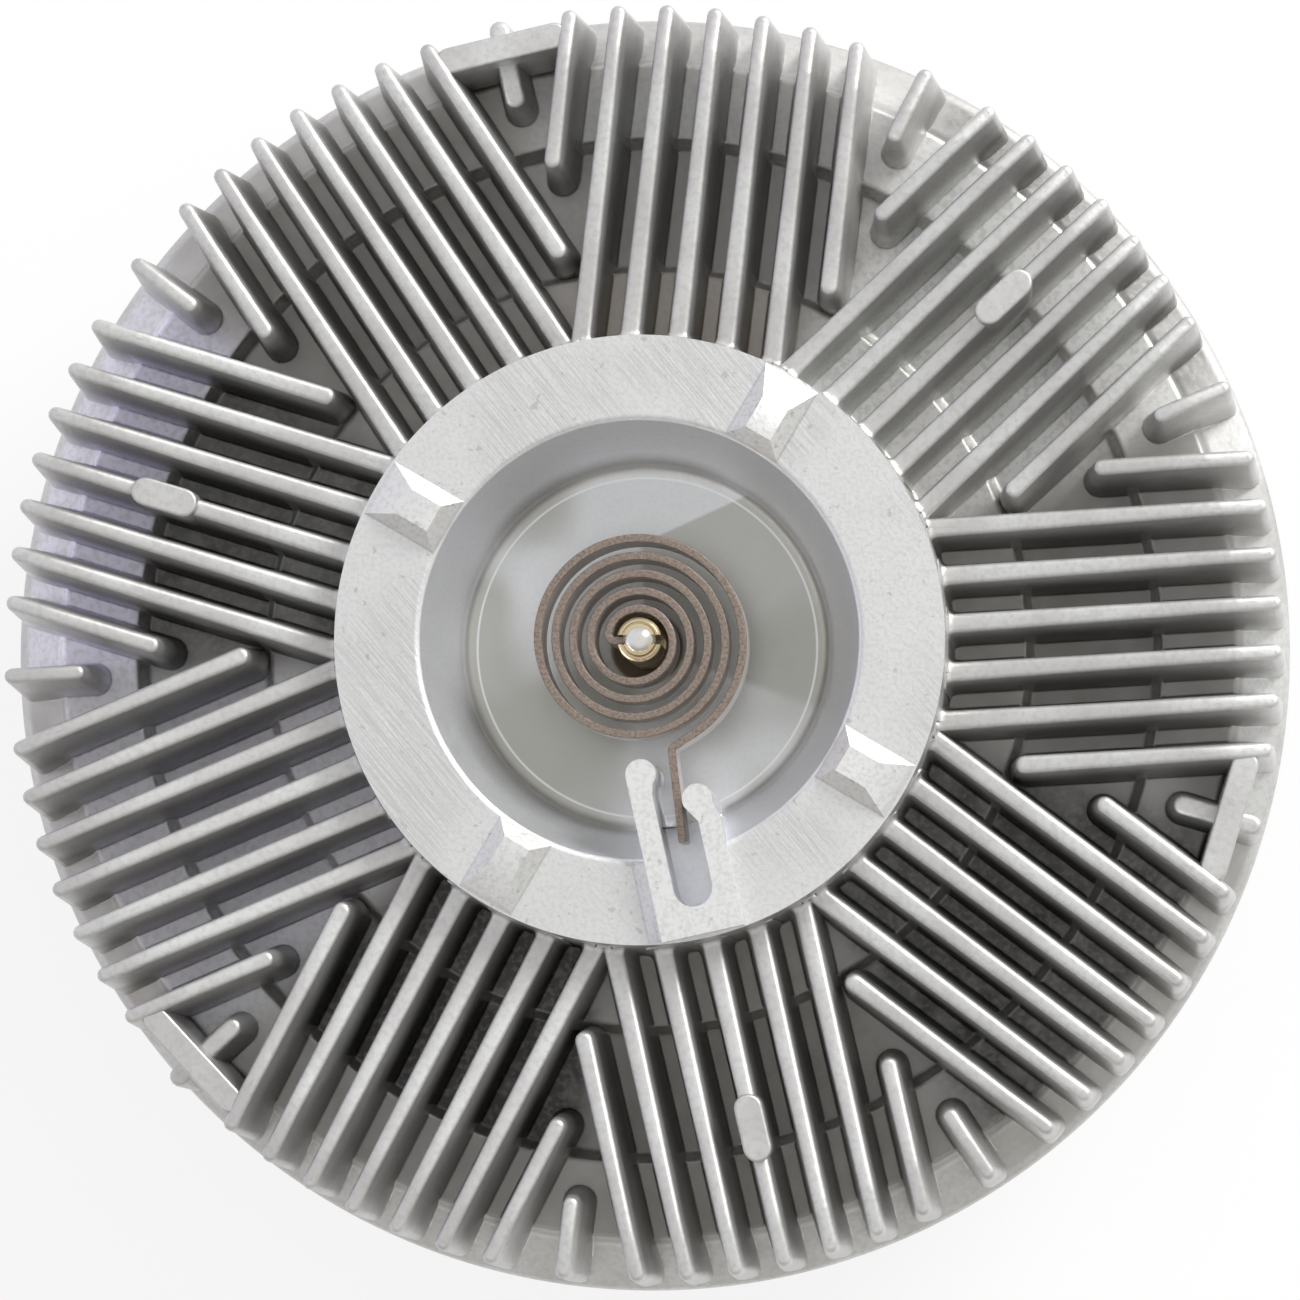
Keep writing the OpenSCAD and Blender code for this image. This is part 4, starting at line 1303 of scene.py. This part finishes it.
        def place(mark: tuple[str, float, int], rise: float, out: float, from_top: bool) -> Vector:
            """A point of the skin.

            Args:
                mark: Kind of the point, its place along x or its angle, and its side.
                rise: Height above the floor, or above the top.
                out: Distance outwards from the drafted side.
                from_top: Whether the height counts from the top.

            Returns:
                The point.
            """
            kind, value, side = mark
            foot_u = wall(self.band_z, offset) + value
            u = {"side": value, "wall": foot_u, "nose": centre, "end": shoulder}[kind]
            reach = end if kind == "end" else u
            z = top(u) + rise if from_top else self.floor_at(math.hypot(reach, offset + side * foot)) + rise
            if kind == "wall" and from_top:
                z += self.wall_share * fillet(value, self.wall_r)
            width = max(half + draft * (self.crest_z - max(z, self.band_z)) + out, self.least_w)
            turn = math.radians(value)
            if kind == "nose":
                return Vector((centre + width * math.cos(turn), offset + width * math.sin(turn), z))
            if kind == "end":
                corner = min(self.end_round, width)
                lean = min(max((z - self.crest_z + self.end_h) / self.end_h, 0.0), 1.0)
                u = end - self.end_w * lean + min(out, 0.0) - corner
                v = side * (width - corner) + corner * math.sin(turn)
                return Vector((u + corner * math.cos(turn), offset + v, z))
            if kind == "wall":
                u = wall(z, offset + side * width) + value
                width += fillet(value, self.wall_r)
            return Vector((u, offset + side * width, z))

        marks = []
        first = wall(self.band_z, offset) + self.wall_r + self.wall_clear
        if nose:
            first = centre + self.nose_clear
        for side in (1, -1):
            line = [along(r, abs(offset + side * foot)) for r in self.stations]
            row = [("side", u, side) for u in line if first < u < shoulder - self.end_clear]
            if not nose:
                row = [("wall", gap * self.wall_r, side) for gap in self.wall_steps] + row
            ends = [("end", angle * side, side) for angle in (90.0, 60.0, 30.0, 0.0)]
            marks += row + ends if side > 0 else ends[::-1] + row[::-1]
        if nose:
            marks += [("nose", angle, 1) for angle in (270, 247, 225, 202, 180, 158, 135, 113, 90)]
        root, edge = self.root_r, self.edge_r
        levels = [(-self.root_depth, root, False)]
        for turn in (270, 250, 225, 200, 180):
            turn = math.radians(turn)
            levels.append((root * (1 + math.sin(turn)), root * (1 + math.cos(turn)), False))
        for turn in (0, 30, 60, 90):
            turn = math.radians(turn)
            levels.append((edge * (math.sin(turn) - 1), edge * (math.cos(turn) - 1), True))
        loops = [[place(mark, *level) for mark in marks] for level in levels]
        spine = [[Vector((p.x, offset, p.z)) for p in loops[k]] for k in (0, -1)]
        return Bench.loft("fin", [spine[0], *loops, spine[1]])

    def group(self) -> list[Piece]:
        """One group of parallel fins: long ones in the middle, a short one on each side with a round nose.

        Returns:
            The fins, along x.
        """
        fins = []
        for k in range(-self.side_count, self.side_count + 1):
            offset = -k * self.pitch
            if abs(k) < self.side_count:
                fins.append(self.fin(offset, along(self.ring_r, offset)))
                continue
            length = self.short_len if k < 0 else self.mid_len
            fins.append(self.fin(offset, along(self.end_r, offset) - length, nose=True))
        return fins

    def bar(self, length: float, width: float, low: float, high: float) -> Piece:
        """An upright bar with round ends, long along x, at the axis.

        Args:
            length: Length over the round ends.
            width: Width.
            low: Height of the underside.
            high: Height of the top.

        Returns:
            The bar.
        """
        half = (length - width) / 2
        plan = arc(half, 0.0, width / 2, -90, 90, 10) + arc(-half, 0.0, width / 2, 90, 270, 10)
        bar = Bench.prism("bar", plan, low, high)
        Bench.ease(bar, self.bar_edge, 50.0, 3)
        return bar

    def fins(self) -> list[Piece]:
        """All groups, with the stubs, bars and oblong pads between them.

        Returns:
            All of these pieces, in their places.
        """
        step = 360.0 / self.groups
        group = Bench.join("fin_group", self.group())
        pieces = []
        for g in range(self.groups):
            angle = self.first_angle + g * step
            edge = angle + step / 2
            has_bar = g % 3 == 2
            pieces.append(Bench.turned_copy(group, angle))
            stub_start = self.end_r - self.stub_len
            stub = self.fin(0.0, stub_start, self.low_stub if has_bar else 0.0, nose=True)
            pieces.append(Bench.turn(stub, edge))
            if has_bar:
                bar = self.bar(self.pad_len, self.pad_w, self.seat_z + 2.0, self.crest_z - self.outer_drop)
                bar.rotation_euler = (0, 0, math.pi / 2)
                bar.location = (self.bar_r * MM, 0, 0)
                pieces.append(Bench.turn(Bench.settle(bar), edge))
            if g % 3 == 1:
                pad = self.bar(self.boss_len, self.boss_w, self.groove_z - 1.0, self.crest_z + 0.2)
                pad.location = (self.oblong_r * MM, 0, 0)
                pieces.append(Bench.turn(Bench.settle(pad), angle))
        bpy.data.objects.remove(group)
        return pieces

    def inner_lands(self) -> Piece:
        """The rings that run between the rotor's lands, under the cover's ceiling.

        Returns:
            The rings, joined.
        """
        rings = []
        for i in range(self.lands):
            outer = self.first_land_r - i * self.land_pitch
            inner = outer - self.land_t
            corners = [
                (inner, self.seat_z), (outer, self.seat_z), (outer, self.ceiling_z + 0.5),
                (inner, self.ceiling_z + 0.5),
            ]
            rings.append(Bench.lathe("land", corners, 160))
        lands = Bench.join("cover_lands", rings)
        Bench.ease(lands, self.land_edge)
        return lands

    def build(self) -> None:
        """Model the cover and put it in place of the frame's solid."""
        rim = Bench.lathe("cover_rim", rounded(self.rim_section(), 0.7), self.spin_steps)
        fins = Bench.join("cover_fins", self.fins())
        ring = self.ring()
        lands = self.inner_lands()
        skin = self.skin.make()
        for piece, material, angle in (
            (rim, skin, 40.0), (fins, skin, 40.0), (ring, self.milled.make(), 30.0), (lands, skin, 30.0),
        ):
            Bench.smooth(piece, angle)
            Bench.dress(piece, material, Body.HOUSING, Slot.CAST)
            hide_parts("front_cover")


@dataclass
class BimetalCoil:
    """The spiral strip with its inner tab and outer tail. Millimetres."""

    thickness: float = 1.15
    low: float = 75.0
    high: float = 85.0
    start_r: float = 4.0
    pitch: float = 2.55
    turns: int = 4
    shift: float = 0.6
    bend: float = 0.95
    tail: float = 13.0
    tail_v: float = 1.0
    tail_lean: float = 1.3
    tab_end: float = 0.8
    anchor_angle: float = -77.5
    step: float = 5.0
    finish: StripFinish = field(default_factory=StripFinish)

    def line(self) -> list[Point2]:
        """Middle line of the strip: tab, spiral clockwise outwards, tail.

        Returns:
            The points from the tab to the tail's end.
        """
        angle = math.radians(self.anchor_angle)
        span = 360.0 * self.turns + 180.0 - self.anchor_angle
        end_r = self.start_r + self.pitch * span / 360.0
        shift_u, shift_v = -self.shift * math.cos(angle), self.shift * math.sin(angle)
        lead = math.degrees(math.atan((self.tail_v + self.bend - shift_v) / end_r))
        first = math.degrees(math.atan(self.bend / self.start_r)) + self.step
        last = span - lead - self.step
        count = math.ceil((last - first) / self.step)
        spiral = []
        for i in range(count + 1):
            sweep = first + (last - first) * i / count
            radius = self.start_r + self.pitch * sweep / 360.0
            turn = math.radians(180.0 - sweep)
            spiral.append((radius * math.cos(turn) - self.shift, radius * math.sin(turn)))
        tail_u = end_r + shift_u + self.bend
        hook = arc(tail_u, self.tail_v + self.bend, self.bend, 180, 270, 6)
        hook.append((tail_u + self.tail, self.tail_v - self.tail_lean))
        turned = [
            (u * math.cos(angle) - v * math.sin(angle), u * math.sin(angle) + v * math.cos(angle))
            for u, v in hook
        ]
        heel = self.bend - self.start_r - self.shift
        tab = [(-self.tab_end, 0.0), *arc(heel, self.bend, self.bend, 270, 180, 6)]
        return tab + spiral + turned

    def strip(self) -> Piece:
        """The strip: one corner drawn out along the line, raised to its width and thickened.

        Returns:
            The strip.
        """
        line = self.line()
        Bench.clear()
        bpy.ops.mesh.primitive_plane_add(size=1.0)
        obj = bpy.context.object
        obj.name = "coil_strip"
        Bench.edit(obj)
        bpy.ops.mesh.merge(type="CENTER")
        Bench.clear()
        obj.data.vertices[0].co = Vector((line[0][0], line[0][1], self.low)) * MM
        Bench.edit(obj)
        for (x0, y0), (x1, y1) in zip(line, line[1:]):
            move = {"value": ((x1 - x0) * MM, (y1 - y0) * MM, 0)}
            bpy.ops.mesh.extrude_vertices_move(TRANSFORM_OT_translate=move)
        bpy.ops.mesh.select_all(action="SELECT")
        Bench.rise(self.high - self.low)
        Bench.clear()
        Bench.apply(obj, "SOLIDIFY", thickness=self.thickness * MM, offset=0.0, use_even_offset=True)
        Bench.mend(obj)
        Bench.ease(obj, 0.2, 50.0)
        return obj

    def wind(self, obj: Piece) -> None:
        """Put the strip's place into its mesh and add up its length along the line, which nothing uses.

        Args:
            obj: The strip.
        """
        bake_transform(obj)
        line = self.line()
        lengths = [0.0]
        for (x0, y0), (x1, y1) in zip(line, line[1:]):
            lengths.append(lengths[-1] + math.hypot(x1 - x0, y1 - y0))

    def build(self) -> None:
        """Model the coil and put it in place of the frame's solid."""
        strip = self.strip()
        Bench.smooth(strip, 40.0)
        Bench.paint(strip, self.finish.make())
        self.wind(strip)
        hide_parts("bimetal_coil")
        LOG.info("%s: %d faces", strip.name, len(strip.data.polygons))


@dataclass
class ValveShaft:
    """The slotted brass shaft with its rimmed end and the dome that bridges the slot. Millimetres."""

    radius: float = 3.2
    foot_z: float = 60.3
    top_z: float = 87.0
    coil_z: float = 75.0
    slot_half: float = 0.7
    rim_w: float = 0.6
    groove: float = 0.3
    groove_depth: float = 1.0
    dome_r: float = 2.54
    dome_rise: float = 0.8
    dome_low: float = 86.0
    seal_z: float = 63.3
    seal_h: float = 1.8
    seal_t: float = 0.8
    end_edge: float = 0.4
    cutter: float = 6.0
    palette: Palette = field(default_factory=Palette)

    def stem(self) -> Piece:
        """The turned shaft with its seal groove, rimmed end and slot.

        Returns:
            The shaft.
        """
        rim = self.radius - self.rim_w
        waist = self.radius - self.seal_t
        seal_top = self.seal_z + self.seal_h
        section = [
            (AXIS_R, self.foot_z), (self.radius, self.foot_z), (self.radius, self.seal_z),
            (waist, self.seal_z), (waist, seal_top), (self.radius, seal_top),
            (self.radius, self.top_z - self.end_edge), (self.radius - self.end_edge, self.top_z),
            (rim, self.top_z),
            (rim, self.top_z - self.groove_depth), (rim - self.groove, self.top_z - self.groove_depth),
            (rim - self.groove, self.top_z), (AXIS_R, self.top_z),
        ]
        stem = Bench.lathe("valve_stem", section, 72)
        low = Vector((-self.cutter, -self.slot_half, self.coil_z - 0.2))
        Bench.cut(stem, [Bench.block("slot", low, Vector((self.cutter, self.slot_half, self.top_z + 2.0)))])
        Bench.ease(stem, 0.08, 40.0)
        return stem

    def dome(self) -> Piece:
        """The dome on the shaft's end, spun from an arc.

        Returns:
            The dome.
        """
        centre = self.top_z + self.dome_rise - self.dome_r
        start = math.degrees(math.asin((self.dome_low - centre) / self.dome_r))
        section = [(AXIS_R, self.dome_low), *arc(0.0, centre, self.dome_r, start, 89, 10)]
        return Bench.lathe("valve_dome", section, 48)

    def build(self) -> None:
        """Model the shaft and put it in place of the frame's solid."""
        for piece, finish in ((self.stem(), self.palette.brass), (self.dome(), self.palette.tin)):
            Bench.smooth(piece, 35.0)
            Bench.dress(piece, finish.make(), Body.VALVE, Slot.BRASS)
            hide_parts("valve_shaft")


@dataclass
class RearBody:
    """The cast rear body: wall, radial fins, fan bosses and the bearing's boss. Millimetres."""

    seat_r: float = 91.0
    cavity_r: float = 83.7
    bore_r: float = 31.0
    boss_r: float = 39.0
    root_r: float = 41.0
    eye_r: float = 27.0
    foot_z: float = 10.4
    snap_z: float = 11.2
    bearing_z: float = 13.0
    fan_z: float = 22.0
    shoulder_z: float = 37.0
    wall_z: float = 40.0
    wall_top: float = 46.0
    seat_z: float = 52.0
    seal_mid: float = 87.35
    seal_half: float = 1.0
    seal_depth: float = 2.0
    snap_depth: float = 1.2
    overlap: float = 2.0
    fin_count: int = 36
    fin_t: float = 2.4
    fin_h: float = 13.0
    fin_tip: float = 87.0
    fin_slope: float = 10.0
    fin_end_h: float = 3.0
    fin_draft: float = 0.8
    fan_r: float = 60.0
    fan_boss_r: float = 9.0
    fan_hole_r: float = 3.4
    fan_hole_depth: float = 14.0
    thread_pitch: float = 1.0
    thread_depth: float = 0.35
    thread_lead: float = 0.8
    hole_edge: float = 0.7
    boss_edge: float = 0.4
    boss_inset: float = 0.1
    drill_r: float = 0.05
    voxel: float = 0.6
    smoothing: int = 4
    triangles: int = 150000
    skin: CastFinish = CastFinish("cast_body")
    turned: TurnedFinish = TurnedFinish(
        "turned_aluminium", (0.70, 0.70, 0.69, 1.0), (0.60, 0.59, 0.57, 1.0), 0.34
    )

    def section(self) -> list[Point2]:
        """Half section of the cast wall, without the machined boss.

        Returns:
            The corners, as radius and height.
        """
        inner, low = self.boss_r - self.overlap, self.fan_z + 2.0
        seal_in, seal_out = self.seal_mid - self.seal_half, self.seal_mid + self.seal_half
        seal_z = self.seat_z - self.seal_depth
        return [
            (inner, low), (self.root_r, low), (self.root_r + 0.6, self.wall_z),
            (self.seat_r, self.wall_z), (self.seat_r, self.seat_z), (seal_out, self.seat_z),
            (seal_out, seal_z), (seal_in, seal_z), (seal_in, self.seat_z),
            (self.cavity_r, self.seat_z), (self.cavity_r, self.wall_top), (inner, self.wall_top),
        ]

    def boss_section(self) -> list[Point2]:
        """Half section of the machined boss: bore, retaining groove, shoulder and turned outside.

        Returns:
            The corners, as radius and height.
        """
        top, snap_r = self.wall_top - 0.1, self.bore_r + self.snap_depth
        return [
            (self.bore_r, self.foot_z), (self.boss_r - 1.0, self.foot_z), (self.boss_r, self.foot_z + 1.0),
            (self.boss_r, self.wall_z + 2.0), (self.boss_r, top), (self.eye_r, top),
            (self.eye_r, self.shoulder_z), (self.bore_r, self.shoulder_z), (self.bore_r, self.bearing_z),
            (snap_r, self.bearing_z), (snap_r, self.snap_z), (self.bore_r, self.snap_z),
        ]

    def fin(self) -> Piece:
        """One radial fin with a draft and a sloped outer end, along x.

        Returns:
            The fin.
        """
        low = self.wall_z - self.fin_h
        half = self.fin_t / 2
        start = Vector((self.root_r - 1.0, -half, low))
        fin = Bench.block("rear_fin", start, Vector((self.fin_tip, half, self.wall_z + 1.0)))
        Bench.edit(fin)
        slope_u = self.fin_tip - self.fin_slope
        bpy.ops.mesh.bisect(plane_co=(slope_u * MM, 0, 0), plane_no=(1, 0, 0))
        Bench.pick(fin, Pick.VERT, lambda c: c[0].z < low + NEAR and c[0].x > self.fin_tip - NEAR)
        bpy.ops.transform.translate(value=(0, 0, (self.fin_h - self.fin_end_h) * MM))
        Bench.pick(fin, Pick.VERT, lambda c: c[0].z < low + NEAR)
        bpy.ops.transform.resize(value=(1.0, self.fin_draft, 1.0), center_override=(0, 0, 0))
        Bench.clear()
        return fin

    def bosses(self) -> Piece:
        """The fan bosses' spot-faced ends with their threaded holes.

        Returns:
            The four bosses, joined.
        """
        thread = []
        for i in range(int(self.fan_hole_depth / self.thread_pitch)):
            z = self.fan_z + self.thread_lead + i * self.thread_pitch
            crest = (self.fan_hole_r - self.thread_depth, z + self.thread_pitch / 2)
            thread += [(self.fan_hole_r, z), crest]
        top = self.fan_z + self.fan_hole_depth + 1.0
        side = self.fan_boss_r - self.boss_inset
        section = [
            (self.fan_hole_r + self.hole_edge, self.fan_z), (side - self.boss_edge, self.fan_z),
            (side, self.fan_z + self.boss_edge), (side, top + 1.0), (self.drill_r, top + 1.0),
            (self.drill_r, top), *reversed(thread),
        ]
        boss = Bench.lathe("boss", section, 48)
        boss.location = (self.fan_r * MM, 0, 0)
        return Bench.join("fan_bosses", Bench.around(Bench.settle(boss), 4, 45.0))

    def build(self) -> None:
        """Model the body and put it in place of the frame's solid."""
        wall = Bench.lathe("rear_wall", self.section(), 200)
        fins = Bench.around(self.fin(), self.fin_count)
        root_r, root_low = self.fan_boss_r + 0.25, self.fan_z + 1.6
        roots = Bench.rods("boss_root", self.fan_r, root_r, root_low, self.wall_z + 1.0)
        casting = Bench.join("rear_casting", [wall, *fins, *roots])
        Bench.cast(casting, self.voxel, self.smoothing, self.triangles)
        core_r, core_high = self.fan_boss_r - 1.2, self.fan_z + self.fan_hole_depth + 1.5
        Bench.cut(casting, Bench.rods("core", self.fan_r, core_r, self.fan_z, core_high))
        boss = Bench.lathe("bearing_boss", self.boss_section(), 160)
        Bench.ease(boss, 0.2)
        machined = self.turned.make()
        for piece, material, angle in (
            (casting, self.skin.make(), 60.0), (boss, machined, 30.0), (self.bosses(), machined, 30.0),
        ):
            Bench.smooth(piece, angle)
            Bench.dress(piece, material, Body.HOUSING, Slot.CAST)
            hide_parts("rear_body")


@dataclass
class InputShaft:
    """The flanged steel shaft with its pilot bore and bolt holes. Millimetres."""

    flange_r: float = 38.0
    flange_t: float = 7.0
    neck_r: float = 19.0
    bore_r: float = 15.0
    bearing_z: float = 13.0
    shoulder_z: float = 37.0
    seat_r: float = 13.0
    ring_low: float = 54.7
    ring_high: float = 56.2
    end_z: float = 57.0
    ring_depth: float = 1.2
    pilot_r: float = 7.94
    pilot_depth: float = 14.0
    bolt_r: float = 28.575
    hole_r: float = 4.4
    edge: float = 0.8
    neck_round: float = 1.2
    end_edge: float = 0.4
    palette: Palette = field(default_factory=Palette)

    def build(self) -> None:
        """Model the shaft and put it in place of the frame's solid."""
        waist = self.seat_r - self.ring_depth
        edge, curve = self.edge, self.neck_round
        section = [
            (AXIS_R, self.pilot_depth + 2.0), (self.pilot_r, self.pilot_depth), (self.pilot_r, edge),
            (self.pilot_r + edge, 0.0), (self.flange_r - edge, 0.0), (self.flange_r, edge),
            (self.flange_r, self.flange_t - edge), (self.flange_r - edge, self.flange_t),
            *arc(self.neck_r + curve, self.flange_t + curve, curve, 270, 180, 5),
            (self.neck_r, self.bearing_z), (self.bore_r, self.bearing_z), (self.bore_r, self.shoulder_z),
            (self.seat_r, self.shoulder_z), (self.seat_r, self.ring_low), (waist, self.ring_low),
            (waist, self.ring_high), (self.seat_r, self.ring_high), (self.seat_r, self.end_z - self.end_edge),
            (self.seat_r - self.end_edge, self.end_z), (AXIS_R, self.end_z),
        ]
        shaft = Bench.lathe("flanged_shaft", section, 144)
        Bench.cut(shaft, Bench.rods("hole", self.bolt_r, self.hole_r, -1.0, self.flange_t + 1.0))
        Bench.ease(shaft, 0.25, 40.0)
        Bench.smooth(shaft, 35.0)
        Bench.dress(shaft, self.palette.steel.make(), Body.HUB, Slot.STEEL)
        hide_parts("input_shaft")


@dataclass
class FrameDress:
    """Finishes for the frame's own solids, most of them inside the housing."""

    palette: Palette = field(default_factory=Palette)
    cast: CastFinish = CastFinish("cast_rotor")

    def dress(self, nodes: dict[str, Piece], record: dict) -> None:
        """Give each shown solid the finish of its slot.

        Args:
            nodes: The frame's objects by name.
            record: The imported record.
        """
        finishes = {
            Slot.STEEL.value: self.palette.steel.make(),
            Slot.BRASS.value: self.palette.brass.make(),
            Slot.RUBBER.value: self.palette.rubber.make(),
            Slot.CAST.value: self.cast.make(),
        }
        for part in record["subparts"]:
            node = nodes[part["node"]]
            finish = finishes.get(part["material_slot"])
            if finish is None or node.hide_render:
                continue
            Bench.paint(node, finish)


@dataclass
class Studio:
    """Camera, floor and soft light. The picture is 1300 pixels square. Lengths are millimetres."""

    picture: float = 1300.0
    sensor: float = 36.0
    distance: float = 945.0
    pixel: float = 0.149
    aim: Vector = field(default_factory=lambda: Vector((-0.37, 0.45, 55.0)))
    lean: Vector = field(default_factory=lambda: Vector((0.0608, -0.0616, 0.9962)))
    floor_side: float = 6000.0
    floor_colour: Colour = (0.92, 0.92, 0.92, 1.0)
    floor_rough: float = 0.9
    floor_glow: float = 0.8
    key_place: Vector = field(default_factory=lambda: Vector((700.0, 700.0, 620.0)))
    key_aim: Vector = field(default_factory=lambda: Vector((0.0, 0.0, 60.0)))
    key_size: float = 450.0
    key_power: float = 11.5
    key_colour: tuple[float, float, float] = (1.0, 1.0, 0.99)
    above: Colour = (0.80, 0.80, 0.80, 1.0)
    right: Colour = (0.68, 0.68, 0.67, 1.0)
    left: Colour = (0.80, 0.79, 0.92, 1.0)
    front: Colour = (0.45, 0.43, 0.39, 1.0)

    def camera(self) -> None:
        """Stand the camera where the photograph was taken."""
        data = bpy.data.cameras.new("camera")
        data.sensor_width = self.sensor
        data.lens = self.distance / self.pixel * self.sensor / self.picture
        data.clip_start = 0.01
        data.clip_end = 50.0
        camera = bpy.data.objects.new("camera", data)
        bpy.context.scene.collection.objects.link(camera)
        back = self.lean.normalized()
        up = Vector((0.0, 1.0, 0.0))
        side = up.cross(back).normalized()
        up = back.cross(side).normalized()
        place = (self.aim + back * self.distance) * MM
        turn = Matrix((side, up, back)).transposed().to_4x4()
        camera.matrix_world = Matrix.Translation(place) @ turn
        bpy.context.scene.camera = camera

    def floor(self) -> None:
        """A pale floor that shows white to the camera, with the object's soft shadow."""
        Bench.clear()
        bpy.ops.mesh.primitive_plane_add(size=self.floor_side * MM)
        floor = bpy.context.object
        floor.name = "floor"
        sheet = Sheet("pale_floor")
        sheet.coat(self.floor_colour, 0.0, self.floor_rough)
        rays = sheet.add("ShaderNodeLightPath").outputs
        seen = rays["Is Camera Ray"]
        for ray in ("Is Glossy Ray", "Is Transmission Ray"):
            seen = sheet.math("MAXIMUM", seen, rays[ray])
        glow = sheet.add("ShaderNodeEmission", {"Strength": 1.0}).outputs[0]
        inputs = {0: sheet.times(seen, self.floor_glow), 1: sheet.shader.outputs[0], 2: glow}
        mixer = sheet.add("ShaderNodeMixShader", inputs)
        sheet.feed(sheet.tree.nodes["Material Output"].inputs["Surface"], mixer.outputs[0])
        floor.data.materials.append(sheet.material)

    def key(self) -> None:
        """A square soft lamp that looks at the object."""
        data = bpy.data.lights.new("key", "AREA")
        data.size = self.key_size * MM
        data.energy = self.key_power
        data.color = self.key_colour
        lamp = bpy.data.objects.new("key", data)
        bpy.context.scene.collection.objects.link(lamp)
        lamp.location = self.key_place * MM
        away = (self.key_place - self.key_aim).normalized()
        lamp.rotation_euler = away.to_track_quat("Z", "Y").to_euler()

    def world(self) -> None:
        """A pale ceiling over softer sides, each with a slight tint."""
        world = bpy.data.worlds.new("surround")
        bpy.context.scene.world = world
        world.use_nodes = True
        nodes = Nodes(world.node_tree)
        place = nodes.add("ShaderNodeTexCoord").outputs["Generated"]
        x, y, z = nodes.add("ShaderNodeSeparateXYZ", {0: place}).outputs
        sides = nodes.mix(nodes.ramp(x, -0.1, -0.8), self.right, self.left)
        sides = nodes.mix(nodes.ramp(y, -0.2, -0.8), sides, self.front)
        dome = nodes.mix(nodes.ramp(z, 0.35, 0.8), sides, self.above)
        background = world.node_tree.nodes["Background"].inputs
        nodes.feed(background["Color"], dome)
        nodes.feed(background["Strength"], 1.0)

    def build(self) -> None:
        """Set up the whole studio."""
        self.camera()
        self.floor()
        self.world()
        self.key()
        settings = bpy.context.scene.view_settings
        settings.view_transform = "Standard"


def main() -> None:
    """Load the frame, build the pieces in order, and dress what stays."""
    logging.basicConfig(level=logging.INFO, format="%(name)s: %(message)s")
    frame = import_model()
    Studio().build()
    for assembly in (FrontCover(), BimetalCoil(), ValveShaft(), RearBody(), InputShaft()):
        assembly.build()
    FrameDress().dress(frame["nodes"], frame["record"])


if __name__ == "__main__":
    main()
